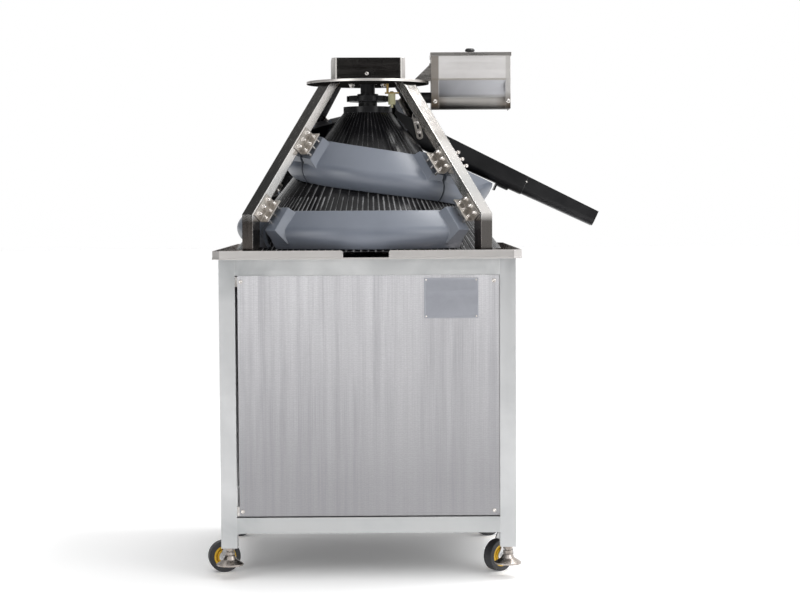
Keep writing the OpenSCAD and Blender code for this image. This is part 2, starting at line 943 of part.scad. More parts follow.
// Gear unit with a hollow output, hung under the cross beams
module gearbox() {
    color(blue)
        difference() {
            union() {
                translate([0, 0, beam_low - gear_flange_t])
                    cylinder(r = gear_flange_r, h = gear_flange_t);
                translate([-gear_size[0] / 2, -gear_size[1] / 2, gear_low])
                    cube(gear_size);
                translate([0, 0, gear_low - gear_cover_t])
                    cylinder(r = gear_cover_r, h = gear_cover_t);
            }
            translate([0, 0, shaft_low - nest_gap])
                cylinder(r = bore_r, h = beam_low);
        }
}

// Drive motor on the gear unit's side
module drive_motor() {
    color(blue)
        translate([gear_size[0] / 2, 0, motor_z]) {
            rotate([0, 90, 0]) {
                cylinder(r = motor_r, h = motor_len);
                translate([0, 0, motor_len])
                    cylinder(r = cowl_r, h = cowl_len);
            }
            translate([motor_len / 2 - terminal_size[0] / 2, -motor_r - terminal_size[2] / 2, -terminal_size[1] / 2])
                cube([terminal_size[0], terminal_size[2], terminal_size[1]]);
        }
}

// Fluted cone, a hollow shell
module cone() {
    short_low = short_flute_top - flute_ramp;
    thick = cone_shell / cos(alpha);
    rings = concat(
        [for (z = [cone_low, short_low, short_flute_top, cone_top])
            let (r = cone_r(z), deep = r * flute_deep_share)
            flute_ring(r, z, deep, z < short_flute_top ? deep : 0)],
        [for (z = [cone_top, cone_low]) flute_ring(cone_r(z) - thick, z, 0, 0)]
    );
    color(black)
        polyhedron(
            points = [for (ring = rings) each ring],
            faces = loop_faces(len(rings), len(rings[0]))
        );
}

// Cap ring that carries the cone's shell, with the hub below it
module cone_cap() {
    color(black)
        difference() {
            union() {
                translate([0, 0, cone_top])
                    cylinder(r = cap_r, h = cap_h);
                translate([0, 0, collar_top])
                    cylinder(r = hub_r, h = hub_h);
            }
            translate([0, 0, collar_top - eps])
                cylinder(r = bore_r, h = hub_h + cap_h + 2 * eps);
        }
}

// Shaft of the cone, with the collar that carries the hub
module cone_shaft() {
    color(dark) {
        translate([0, 0, shaft_low])
            cylinder(r = shaft_r, h = shaft_top - shaft_low);
        translate([0, 0, collar_top - collar_h])
            cylinder(r = collar_r, h = collar_h);
    }
}

// Notched disc that the sensor counts
module trigger_disc() {
    rim_low = disc_heights[0];
    rim_top = rim_low + disc_heights[1];
    color(black)
        translate([0, 0, cap_top])
            difference() {
                union() {
                    cylinder(r = disc_hub_radii[0], h = rim_low);
                    translate([0, 0, rim_low])
                        cylinder(r = disc_r, h = disc_heights[1]);
                    translate([0, 0, rim_top])
                        cylinder(r = disc_hub_radii[1], h = disc_heights[2]);
                }
                translate([0, 0, -eps])
                    cylinder(r = bore_r, h = rim_top + disc_heights[2] + 2 * eps);
                for (i = [0:disc_notches - 1])
                    rotate([0, 0, (i + 1 / 2) * 360 / disc_notches])
                        translate([disc_r - disc_notch[1], -disc_notch[0] / 2, rim_low - eps])
                            cube([disc_r, disc_notch[0], disc_heights[1] + 2 * eps]);
            }
}

// One track segment: a swept wall with a curled foot and a boss at each end
module track(i) {
    first = 90 * i;
    last = 90 * (i + 1);
    gap = gap_at(i);
    start = first + arc_turn(first, gap);
    stop = last - arc_turn(last, gap);
    rings = [
        for (k = [0:track_steps])
            let (turn = start + (stop - start) * k / track_steps)
            [for (p = track_section(turn)) track_point(turn, p)]
    ];
    color(grey) {
        polyhedron(
            points = [for (ring = rings) each ring],
            faces = ring_faces(track_steps + 1, len(rings[0]))
        );
        leg_frame(first)
            mirror([0, 1, 0])
                end_boss(first, rim_slope(i, first), gap);
        leg_frame(last)
            end_boss(last, -rim_slope(i, last), gap);
    }
}

// The right-hand segment is cut away under the chute
module track_right() {
    color(grey)
        difference() {
            track(3);
            chute_room();
        }
}

// Angle brackets that hold the segments to the legs
module track_brackets() {
    color(steel)
        for (i = [0:6], end = [0, 1])
            leg_frame(90 * (i + end))
                mirror([0, 1 - end, 0])
                    translate([bracket_out, leg_w / 2, bracket_s(90 * (i + end)) - bracket_size[2] / 2]) {
                        cube([bracket_size[0], bracket_size[1], bracket_size[2]]);
                        cube([bracket_size[1], bracket_size[0], bracket_size[2]]);
                    }
}

// Studs between the bosses and the brackets
module track_studs() {
    color(steel)
        for (i = [0:6], end = [0, 1], k = [-1, 0, 1])
            leg_frame(90 * (i + end))
                mirror([0, 1 - end, 0])
                    translate([boss_out, stud_y, bracket_s(90 * (i + end)) + k * stud_step])
                        rotate([0, 90, 0])
                            cylinder(r = stud_r, h = bracket_out - boss_out);
}

// Upper trough of the chute, cut clear of the cone
module chute_trough() {
    length = chute_span[1] - chute_span[0];
    color(black)
        difference() {
            chute_frame()
                translate([chute_span[0], 0, 0]) {
                    sloped_trough(chute_span[0], length, 0);
                    for (y = [0, chute_w - chute_hem_t])
                        translate([0, y, -chute_hem_h])
                            cube([ext_span[0] - 2 * chute_hem_h - chute_span[0], chute_hem_t, chute_hem_h]);
                }
            chute_frame()
                translate([chute_span[0], 0, -chute_h - eps])
                    linear_extrude(height = chute_h + 2 * eps)
                        polygon([[-tube, 0], [0, 0], [chute_skew, chute_w + eps], [-tube, chute_w + eps]]);
            translate([0, 0, cone_low])
                cylinder(r1 = cone_r(cone_low) + chute_gap, r2 = cone_r(plate_low) + chute_gap,
                    h = plate_low - cone_low);
        }
}

// Lower trough of the chute, nested in the upper one and shallower at its outlet
module chute_extension() {
    inset = chute_t + nest_gap;
    length = ext_span[1] - ext_span[0];
    color(black)
        chute_frame() {
            translate([ext_span[0], inset, 0])
                sloped_trough(ext_span[0], length, inset);
            for (y = [inset, chute_w - inset - chute_hem_t])
                translate([chute_span[1], y, -chute_hem_h])
                    cube([ext_span[1] - chute_span[1] - chute_hem_t, chute_hem_t, chute_hem_h]);
        }
}

// Bracket under the upper trough
module chute_bracket() {
    color(black)
        chute_frame()
            translate([lug_u, chute_w / 2 - lug_size[0] / 2, -chute_deep(lug_u)])
                rotate([0, -chute_taper, 0]) {
                    translate([0, 0, -lug_size[2]])
                        cube([lug_size[1], lug_size[0], lug_size[2]]);
                    translate([0, 0, -lug_size[1]])
                        cube([lug_foot, lug_size[0], lug_size[1]]);
                }
}

// Frame of the strap: at the crossbar, on the near wall's outer face
module strap_frame() {
    translate([bar_at[0], chute_at[1] - strap_t, bar_at[1]])
        rotate([0, -strap_lean, 0])
            children();
}

// Slotted strap that ties the chute's near wall to the crossbar
module chute_strap() {
    color(steel)
        difference() {
            strap_frame()
                difference() {
                    union() {
                        translate([-strap_w / 2, 0, -strap_len])
                            cube([strap_w, strap_t, strap_len]);
                        for (z = [-strap_len, 0])
                            translate([0, strap_t, z])
                                rotate([90, 0, 0])
                                    cylinder(r = strap_w / 2, h = strap_t);
                    }
                    for (drop = slot_drops)
                        translate([-slot_size[0] / 2, -eps, -drop - slot_size[1]])
                            cube([slot_size[0], strap_t + 2 * eps, slot_size[1]]);
                }
            crossbar_rod(bar_r + run_gap);
        }
}

// A rod where the crossbar is
module crossbar_rod(r) {
    translate([bar_at[0], 0, bar_at[1]])
        rotate([90, 0, 0])
            cylinder(r = r, h = bar_len, center = true);
}

// Crossbar between two legs, fitted to their faces
module chute_crossbar() {
    color(steel)
        difference() {
            crossbar_rod(bar_r);
            leg_bars();
        }
}

// Sheet box of the flour duster, with full end plates, front flanges and a slot below
module duster_box() {
    w = duster_size[0];
    h = duster_top - roller_z + trough_r;
    color(steel)
        difference() {
            union() {
                translate([duster_left, 0, 0])
                    rotate([90, 0, 90])
                        linear_extrude(height = w)
                            difference() {
                                duster_profile(0);
                                duster_profile(-duster_t);
                            }
                translate([duster_left, duster_near, duster_top - h])
                    cube([duster_t, duster_size[1], h]);
                translate([duster_right - duster_t, duster_near, duster_top - h])
                    cube([duster_t, duster_size[1], h]);
                translate([duster_left, duster_near, duster_top - h])
                    cube([flange_widths[0], duster_t, h]);
                translate([duster_right - flange_widths[1], duster_near, duster_top - h])
                    cube([flange_widths[1], duster_t, h]);
            }
            translate([duster_left - eps, 0, roller_z])
                rotate([0, 90, 0])
                    cylinder(r = roller_shaft_r + run_gap, h = w + 2 * eps);
            translate([duster_left + flange_widths[0], -flour_slot / 2, duster_top - h - eps])
                cube([w - 2 * flange_widths[0], flour_slot, trough_r / 2]);
        }
}

// Bracket of sheet that carries the duster on the top plate
module duster_arm() {
    color(steel)
        translate([duster_left, 0, plate_top]) {
            translate([-arm_len, -arm_w / 2, 0])
                cube([arm_len, arm_w, arm_t]);
            translate([-arm_t, -arm_w / 2, 0])
                cube([arm_t, arm_w, arm_h]);
            for (y = [arm_t / 2 - arm_w / 2, arm_w / 2 - arm_t / 2])
                translate([0, y, 0])
                    rotate([90, 0, 0])
                        linear_extrude(height = arm_t, center = true)
                            polygon([[0, 0], [0, arm_h], [-arm_len, arm_t], [-arm_len, 0]]);
        }
}

// Small gear motor on the duster's left wall
module duster_motor() {
    color(dark)
        translate([duster_left, 0, roller_z])
            rotate([0, -90, 0])
                difference() {
                    cylinder(r = duster_motor_r, h = duster_motor_len);
                    translate([0, 0, -eps])
                        cylinder(r = roller_shaft_r + run_gap, h = shaft_in_motor + 2 * eps);
                }
}

// Grooved roller of the duster
module duster_roller() {
    inner = duster_size[0] - 2 * duster_t - 2 * cheek_t;
    color(steel)
        translate([duster_left - shaft_in_motor, 0, roller_z])
            rotate([0, 90, 0]) {
                cylinder(r = roller_shaft_r, h = duster_size[0] + shaft_in_motor);
                translate([0, 0, shaft_in_motor + duster_t + cheek_t])
                    difference() {
                        cylinder(r = roller_r, h = inner);
                        for (i = [0:roller_grooves - 1])
                            rotate([0, 0, i * 360 / roller_grooves])
                                translate([roller_r, 0, -eps])
                                    cylinder(r = groove_r, h = inner + 2 * eps);
                    }
            }
}

// Lift-off lid of the duster
module duster_lid() {
    out = lid_play + duster_t;
    color(steel)
        translate([duster_left - out, duster_near - out, duster_top + duster_t - lid_edge])
            difference() {
                cube([duster_size[0] + 2 * out, duster_size[1] + 2 * out, lid_edge]);
                translate([duster_t, duster_t, -eps])
                    cube([duster_size[0] + 2 * lid_play, duster_size[1] + 2 * lid_play,
                        lid_edge - duster_t + eps]);
            }
}

// Turned knob on the lid
module lid_knob() {
    r = knob_size[0];
    h = knob_size[1];
    color(black)
        translate([duster_left + duster_size[0] / 2, 0, duster_top + duster_t])
            rotate_extrude()
                polygon([
                    [0, 0], [knob_neck_r, 0], [knob_neck_r, h / 4], [r, h / 2],
                    [r, h * 3 / 4], [r * 3 / 4, h], [0, h]
                ]);
}

// Sensor beside the trigger disc
module sensor() {
    translate([sensor_at[0], sensor_at[1], 0]) {
        color(cream) {
            translate([0, 0, sensor_low])
                cylinder(r = sensor_r, h = sensor_len);
            translate([0, 0, sensor_top])
                cylinder(r = neck_r, h = 2 * sensor_plate[2]);
        }
        color(black)
            translate([0, 0, sensor_low - tip_size[1]])
                cylinder(r = tip_size[0], h = tip_size[1]);
    }
}

// Bracket that hangs the sensor under the top plate
module sensor_bracket() {
    color(brass)
        translate([sensor_at[0], sensor_at[1], sensor_top])
            difference() {
                union() {
                    translate([-sensor_plate[0] / 2, -sensor_plate[1] / 2, 0])
                        cube(sensor_plate);
                    translate([sensor_rod_x, 0, 0])
                        cylinder(r = sensor_rod_r, h = sensor_drop);
                }
                translate([0, 0, -eps])
                    cylinder(r = neck_r + nest_gap, h = sensor_plate[2] + 2 * eps);
            }
}

// Fork of one caster, with its axle
module caster_fork(i) {
    head_low = fork_top - fork_head_t;
    inner = tyre_w / 2 + cheek_play;
    color(steel)
        difference() {
            union() {
                caster_frame(i)
                    translate([0, 0, head_low])
                        cylinder(r = fork_r, h = fork_head_t);
                for (side = [-1, 1])
                    wheel_frame(i)
                        translate([0, 0, side * (inner + cheek_t / 2)])
                            linear_extrude(height = cheek_t, center = true)
                                cheek_plan();
                wheel_frame(i)
                    cylinder(r = axle_r, h = 2 * inner + cheek_t, center = true);
            }
            caster_frame(i)
                translate([0, 0, head_low - eps])
                    cylinder(r = kingpin_r + run_gap, h = fork_head_t + 2 * eps);
        }
}

// Side view of a fork cheek, about the axle
module cheek_plan() {
    top = fork_top - fork_head_t / 2 - wheel_z;
    circle(cheek_r);
    polygon([
        [-trail - fork_r / 2, top], [fork_r / 2 - trail, top],
        [cheek_r, 0], [0, -cheek_r], [-cheek_r, 0]
    ]);
}

// Hub of one caster's wheel
module wheel_hub(i) {
    color(yellow)
        wheel_frame(i)
            difference() {
                cylinder(r = wheel_hub_r, h = tyre_w, center = true);
                cylinder(r = axle_r + run_gap, h = 2 * tyre_w, center = true);
                for (side = [-1, 1])
                    translate([0, 0, side * tyre_w / 2])
                        difference() {
                            cylinder(r = wheel_hub_r - hub_rim_w, h = tyre_w / 2, center = true);
                            cylinder(r = hub_boss_r, h = tyre_w, center = true);
                        }
            }
}

// Tyre of one caster's wheel
module tyre(i) {
    color(dark)
        wheel_frame(i)
            difference() {
                cylinder(r = tyre_r, h = tyre_w, center = true);
                cylinder(r = wheel_hub_r + run_gap, h = 2 * tyre_w, center = true);
            }
}

// Levelling foot of one corner: bell, stem and two jam nuts
module levelling_foot(i) {
    rim = foot_low + foot_heights[0];
    bell = foot_low + foot_heights[1];
    neck = foot_low + foot_heights[2];
    nut_low = post_low - nest_gap - 2 * nut_h - nut_gap;
    color(steel)
        translate([corners[i][0] * post_at, corners[i][1] * post_at, 0]) {
            rotate_extrude()
                polygon([
                    [0, foot_low], [foot_r, foot_low], [foot_r, rim], [foot_r / 2, bell],
                    [nut_r, neck], [0, neck]
                ]);
            translate([0, 0, foot_low])
                cylinder(r = stem_r, h = stem_top - foot_low);
            for (z = [nut_low, nut_low + nut_h + nut_gap])
                translate([0, 0, z])
                    cylinder(r = nut_r, h = nut_h, $fn = 6);
        }
}

corner_posts();
top_rails();
bottom_rails();
drive_beams();
caster_plates();
front_panel();
rear_panel();
left_panel();
right_panel();
panel_tabs();
cable_gland();
tray();
tower_legs();
top_plate();
top_bearing();
top_cover();
gearbox();
drive_motor();
track(0);  // track_lower_front
track(1);  // track_lower_left
track(2);  // track_lower_rear
track_right();
track(4);  // track_upper_front
track(5);  // track_upper_left
track(6);  // track_upper_rear
track_brackets();
track_studs();
chute_trough();
chute_extension();
chute_strap();
chute_crossbar();
chute_bracket();
duster_box();
duster_arm();
duster_motor();
sensor();
sensor_bracket();
cone();
cone_cap();
cone_shaft();
trigger_disc();
duster_roller();
duster_lid();
lid_knob();
caster_fork(0);  // caster_fork_front_left
caster_fork(1);  // caster_fork_front_right
caster_fork(2);  // caster_fork_rear_left
caster_fork(3);  // caster_fork_rear_right
wheel_hub(0);  // wheel_hub_front_left
wheel_hub(1);  // wheel_hub_front_right
wheel_hub(2);  // wheel_hub_rear_left
wheel_hub(3);  // wheel_hub_rear_right
tyre(0);  // tyre_front_left
tyre(1);  // tyre_front_right
tyre(2);  // tyre_rear_left
tyre(3);  // tyre_rear_right
levelling_foot(0);  // foot_front_left
levelling_foot(1);  // foot_front_right
levelling_foot(2);  // foot_rear_left
levelling_foot(3);  // foot_rear_right
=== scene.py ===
# %% [markdown]
# # A conical dough rounder
# Dough pieces drop onto a black fluted cone, which rolls them up a spiral of grey cast
# track segments until they leave down a chute as round balls. The solids come from a CAD
# model, so this lesson only adds what CAD leaves out: finishes, smooth castings, fasteners,
# a bare plate and light.

# %% Load the solids
import math

import bpy
from mathutils import Matrix, Vector


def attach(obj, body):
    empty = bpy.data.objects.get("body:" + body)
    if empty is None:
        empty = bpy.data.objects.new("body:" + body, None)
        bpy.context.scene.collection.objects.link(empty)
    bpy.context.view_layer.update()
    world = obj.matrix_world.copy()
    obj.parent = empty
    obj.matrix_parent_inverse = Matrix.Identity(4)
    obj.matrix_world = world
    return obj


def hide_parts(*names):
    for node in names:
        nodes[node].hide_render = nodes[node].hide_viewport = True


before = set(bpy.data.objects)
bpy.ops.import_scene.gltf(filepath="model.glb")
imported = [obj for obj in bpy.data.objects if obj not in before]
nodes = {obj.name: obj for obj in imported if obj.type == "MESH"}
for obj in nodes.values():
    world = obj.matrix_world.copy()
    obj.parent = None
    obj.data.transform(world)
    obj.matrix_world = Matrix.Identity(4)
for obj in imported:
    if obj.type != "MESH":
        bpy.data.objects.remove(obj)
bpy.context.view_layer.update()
MM = 0.001

# %% [markdown]
# ## Camera
# The photograph was taken from about six metres with a long lens, a little over the tray's
# height. A camera could be turned with three angles, but a matrix built from its own right,
# up and forward directions says plainly where it looks, and takes the slight roll as well.

# %% Place the camera
EYE = Vector((74.475, -6184.095, 1183.97)) * MM
PAN, TILT, ROLL = (math.radians(a) for a in (0.268, 3.108, -0.3248))
FOCAL_PIXELS, PICTURE_PIXELS, SENSOR, CLIP_END = 1851.39, 800, 36, 100

ahead = Vector((math.sin(PAN), math.cos(PAN), 0))
forward = ahead * math.cos(TILT) - Vector((0, 0, math.sin(TILT)))
right = Vector((math.cos(PAN), -math.sin(PAN), 0))
up = right.cross(forward)
rolled_right = right * math.cos(ROLL) + up * math.sin(ROLL)
rolled_up = up * math.cos(ROLL) - right * math.sin(ROLL)
axes = Matrix((rolled_right, rolled_up, -forward)).transposed()

bpy.ops.object.select_all(action="DESELECT")
bpy.ops.object.camera_add()
camera = bpy.context.object
camera.matrix_world = Matrix.Translation(EYE) @ axes.to_4x4()
camera.data.sensor_width = SENSOR
camera.data.lens = SENSOR * FOCAL_PIXELS / PICTURE_PIXELS
camera.data.clip_end = CLIP_END
bpy.context.scene.camera = camera
print(f"camera with a {camera.data.lens:.1f} mm lens")

# %% [markdown]
# ## Floor and light
# Bare steel has little colour of its own and mostly shows the room. So the room is painted
# first: white overhead and behind, as in a photo studio, dim on the camera's side and on the
# left, where polished faces then turn dark. Soft boxes on the right, on the left and high up
# give the castings their shape. The floor is one wide disc in plain white, lit by the room.

# %% Lay the floor
FLOOR_RADIUS, FLOOR_ROUGHNESS, FLOOR_GLOW = 40, 0.9, 0.12
WHITE = (1, 1, 1, 1)

bpy.ops.object.select_all(action="DESELECT")
bpy.ops.mesh.primitive_circle_add(vertices=96, radius=FLOOR_RADIUS, fill_type="NGON")
floor = bpy.context.object
floor.name = "studio_floor"
floor_paint = bpy.data.materials.new("floor_paint")
floor_paint.use_nodes = True
floor_shader = floor_paint.node_tree.nodes["Principled BSDF"]
floor_shader.inputs["Base Color"].default_value = WHITE
floor_shader.inputs["Roughness"].default_value = FLOOR_ROUGHNESS
floor_shader.inputs["Emission Color"].default_value = WHITE
floor_shader.inputs["Emission Strength"].default_value = FLOOR_GLOW
floor.data.materials.append(floor_paint)
print("floor laid")

# %% Hang the lights
def soft_box(name, place, target, size, power):
    """Adds a square area light at a place, facing a target."""
    bpy.ops.object.light_add(type="AREA", location=place)
    light = bpy.context.object
    light.name = name
    light.data.size = size
    light.data.energy = power
    light.rotation_euler = (Vector(target) - Vector(place)).to_track_quat("-Z", "Y").to_euler()


MIDDLE = (0, 0, 1.0)
soft_box("key_right", (3.6, -3.2, 2.2), MIDDLE, size=2.4, power=60)
soft_box("fill_left", (-3.2, -3.6, 1.8), MIDDLE, size=2.2, power=44)
soft_box("high_right", (1.9, 0.3, 4.2), MIDDLE, size=1.2, power=65)
print("three soft boxes hung")

# %% Mask the room's dim sides
FRONT_FROM, FRONT_TO = -0.15, -0.7
LOW_FROM, LOW_TO = 0.62, 0.12
LEFT_FROM, LEFT_TO = -0.2, -0.6
CROWN_FROM, CROWN_TO = 0.95, 0.75

world = bpy.data.worlds.new("studio_room")
bpy.context.scene.world = world
world.use_nodes = True
room = world.node_tree
room.nodes.clear()
direction = room.nodes.new("ShaderNodeTexCoord")
split = room.nodes.new("ShaderNodeSeparateXYZ")
room.links.new(direction.outputs["Generated"], split.inputs["Vector"])


def fade(socket, start, end):
    """A smooth mask that is 0 at start and 1 at end."""
    node = room.nodes.new("ShaderNodeMapRange")
    node.interpolation_type = "SMOOTHSTEP"
    node.inputs["From Min"].default_value = start
    node.inputs["From Max"].default_value = end
    room.links.new(split.outputs[socket], node.inputs["Value"])
    return node.outputs["Result"]


def both_of(operation, first, second):
    """One sum of two masks."""
    node = room.nodes.new("ShaderNodeMath")
    node.operation = operation
    room.links.new(first, node.inputs[0])
    room.links.new(second, node.inputs[1])
    return node


front_dim = both_of("MULTIPLY", fade("Y", FRONT_FROM, FRONT_TO), fade("Z", LOW_FROM, LOW_TO))
left_dim = both_of("MULTIPLY", fade("X", LEFT_FROM, LEFT_TO), fade("Z", CROWN_FROM, CROWN_TO))
dim = both_of("MAXIMUM", front_dim.outputs["Value"], left_dim.outputs["Value"])
print("dim sides masked")

# %% Paint the room
ROOM_LIGHT, DIM_LIGHT = 1.2, 0.06

brightness = room.nodes.new("ShaderNodeMapRange")
brightness.inputs["To Min"].default_value = ROOM_LIGHT
brightness.inputs["To Max"].default_value = DIM_LIGHT
room.links.new(dim.outputs["Value"], brightness.inputs["Value"])
# The camera itself sees a plain white room, and only reflections see the dim sides.
seen = room.nodes.new("ShaderNodeLightPath")
choose = room.nodes.new("ShaderNodeMix")
choose.inputs["B"].default_value = 1.0
walls = room.nodes.new("ShaderNodeBackground")
walls.inputs["Color"].default_value = WHITE
room_output = room.nodes.new("ShaderNodeOutputWorld")
room.links.new(brightness.outputs["Result"], choose.inputs["A"])
room.links.new(seen.outputs["Is Camera Ray"], choose.inputs["Factor"])
room.links.new(choose.outputs["Result"], walls.inputs["Strength"])
room.links.new(walls.outputs["Background"], room_output.inputs["Surface"])
bpy.context.scene.view_settings.view_transform = "Standard"
print("room painted")

# %% [markdown]
# ## Effects that several finishes share
# Rolled sheet, cast iron and moulded plastic differ in colour, but they share a few effects:
# fine grain, broad smudges, and edges that catch the light. Each effect is one node group,
# so a finish only sets its own amounts. The groups put out masks, heights and normals.

# %% Make a node group from a list of sockets
def effect(name, inputs, outputs):
    """Starts a shader node group and returns it with its input and output nodes."""
    group = bpy.data.node_groups.new(name, "ShaderNodeTree")
    for socket, kind, value in inputs:
        made = group.interface.new_socket(name=socket, in_out="INPUT", socket_type=kind)
        if value is not None:
            made.default_value = value
    for socket, kind in outputs:
        group.interface.new_socket(name=socket, in_out="OUTPUT", socket_type=kind)
    return group, group.nodes.new("NodeGroupInput"), group.nodes.new("NodeGroupOutput")


VALUE, VECTOR = "NodeSocketFloat", "NodeSocketVector"
print("ready to make effects")

# %% Grain: fine streaks along one direction
grain, g_in, g_out = effect(
    "rolled_grain",
    [("Vector", VECTOR, None), ("Contrast", VALUE, 1.0)],
    [("Streak", VALUE), ("Height", VALUE)],
)
fine = grain.nodes.new("ShaderNodeTexNoise")
fine.inputs["Scale"].default_value = 1.0
fine.inputs["Detail"].default_value = 3.0
broad = grain.nodes.new("ShaderNodeTexNoise")
broad.inputs["Scale"].default_value = 0.11
broad.inputs["Detail"].default_value = 2.0
both = grain.nodes.new("ShaderNodeMath")
both.operation = "ADD"
sharper = grain.nodes.new("ShaderNodeMath")
sharper.operation = "MULTIPLY_ADD"
sharper.use_clamp = True
offset = grain.nodes.new("ShaderNodeMath")
offset.operation = "MULTIPLY_ADD"
offset.inputs[1].default_value = -1.0
offset.inputs[2].default_value = 0.5
for noise in (fine, broad):
    grain.links.new(g_in.outputs["Vector"], noise.inputs["Vector"])
grain.links.new(fine.outputs["Fac"], both.inputs[0])
grain.links.new(broad.outputs["Fac"], both.inputs[1])
grain.links.new(g_in.outputs["Contrast"], offset.inputs[0])
grain.links.new(both.outputs["Value"], sharper.inputs[0])
grain.links.new(g_in.outputs["Contrast"], sharper.inputs[1])
grain.links.new(offset.outputs["Value"], sharper.inputs[2])
grain.links.new(sharper.outputs["Value"], g_out.inputs["Streak"])
grain.links.new(fine.outputs["Fac"], g_out.inputs["Height"])
print("effect:", grain.name)

# %% Smudge: broad cloudy marks from hands, wiping and rolling
smudge, s_in, s_out = effect(
    "wipe_smudge",
    [("Vector", VECTOR, None), ("Scale", VALUE, 6.0)],
    [("Mask", VALUE)],
)
cloud = smudge.nodes.new("ShaderNodeTexNoise")
cloud.inputs["Detail"].default_value = 5.0
cloud.inputs["Distortion"].default_value = 0.6
widened = smudge.nodes.new("ShaderNodeMapRange")
widened.inputs["From Min"].default_value = 0.36
widened.inputs["From Max"].default_value = 0.66
smudge.links.new(s_in.outputs["Vector"], cloud.inputs["Vector"])
smudge.links.new(s_in.outputs["Scale"], cloud.inputs["Scale"])
smudge.links.new(cloud.outputs["Fac"], widened.inputs["Value"])
smudge.links.new(widened.outputs["Result"], s_out.inputs["Mask"])
print("effect:", smudge.name)

# %% Edge: a rounded normal, and a mask that is bright where faces meet
edge, e_in, e_out = effect(
    "soft_edge",
    [("Radius", VALUE, 0.002)],
    [("Edge", VALUE), ("Normal", VECTOR)],
)
rounded = edge.nodes.new("ShaderNodeBevel")
rounded.samples = 6
true_face = edge.nodes.new("ShaderNodeNewGeometry")
agree = edge.nodes.new("ShaderNodeVectorMath")
agree.operation = "DOT_PRODUCT"
bent = edge.nodes.new("ShaderNodeMapRange")
bent.inputs["From Min"].default_value = 0.995
bent.inputs["From Max"].default_value = 0.86
edge.links.new(e_in.outputs["Radius"], rounded.inputs["Radius"])
edge.links.new(rounded.outputs["Normal"], agree.inputs[0])
edge.links.new(true_face.outputs["Normal"], agree.inputs[1])
edge.links.new(agree.outputs["Value"], bent.inputs["Value"])
edge.links.new(bent.outputs["Result"], e_out.inputs["Edge"])
edge.links.new(rounded.outputs["Normal"], e_out.inputs["Normal"])
print("effect:", edge.name)

# %% [markdown]
# ## Finishes
# Every finish starts from the same small kit: Object coordinates, the edge effect, a smudge
# and a grain, wired to one Principled shader. A function lays that out and hands back the
# pieces, and each finish then adds what is its own. Object coordinates keep the grain at its
# true size, and they stay with the piece when it moves.

# %% Colours, levels and sums on masks
class Masks:
    """What a finish can do with masks in its node tree."""

    def add(self, kind, **settings):
        """Adds a node and sets its properties."""
        node = self.tree.nodes.new(kind)
        for key, value in settings.items():
            setattr(node, key, value)
        return node

    def link(self, start, end):
        """Links one socket to another."""
        self.tree.links.new(start, end)

    def colour(self, mask, low, high):
        """A colour that goes from low to high with a mask. Low may be a socket."""
        mix = self.add("ShaderNodeMix", data_type="RGBA")
        self.link(mask, mix.inputs["Factor"])
        for value, end in ((low, mix.inputs[6]), (high, mix.inputs[7])):
            if isinstance(value, tuple):
                end.default_value = (*value, 1)
            else:
                self.link(value, end)
        return mix.outputs[2]

    def level(self, mask, low, high, low_in=0.0, high_in=1.0):
        """A number that goes from low to high as a mask goes from low_in to high_in."""
        level = self.add("ShaderNodeMapRange")
        level.inputs["To Min"].default_value = low
        level.inputs["To Max"].default_value = high
        level.inputs["From Min"].default_value = low_in
        level.inputs["From Max"].default_value = high_in
        self.link(mask, level.inputs["Value"])
        return level.outputs["Result"]

    def sums(self, operation, first, second):
        """One sum of two sockets or numbers."""
        node = self.add("ShaderNodeMath", operation=operation)
        for value, end in ((first, node.inputs[0]), (second, node.inputs[1])):
            if isinstance(value, (int, float)):
                end.default_value = value
            else:
                self.link(value, end)
        return node.outputs["Value"]

    def face(self):
        """The direction that a face looks in, split into X, Y and Z."""
        parts = self.add("ShaderNodeSeparateXYZ")
        self.link(self.add("ShaderNodeNewGeometry").outputs["Normal"], parts.inputs["Vector"])
        return parts.outputs

    def outward(self):
        """How far a face looks away from the cone's axis: 1 straight away, -1 towards it."""
        level_place = self.add("ShaderNodeVectorMath", operation="MULTIPLY")
        level_place.inputs[1].default_value = (1, 1, 0)
        self.link(self.place, level_place.inputs[0])
        away = self.add("ShaderNodeVectorMath", operation="NORMALIZE")
        self.link(level_place.outputs["Vector"], away.inputs[0])
        facing = self.add("ShaderNodeVectorMath", operation="DOT_PRODUCT")
        self.link(away.outputs["Vector"], facing.inputs[0])
        self.link(self.add("ShaderNodeNewGeometry").outputs["Normal"], facing.inputs[1])
        return facing.outputs["Value"]


print("sums ready")

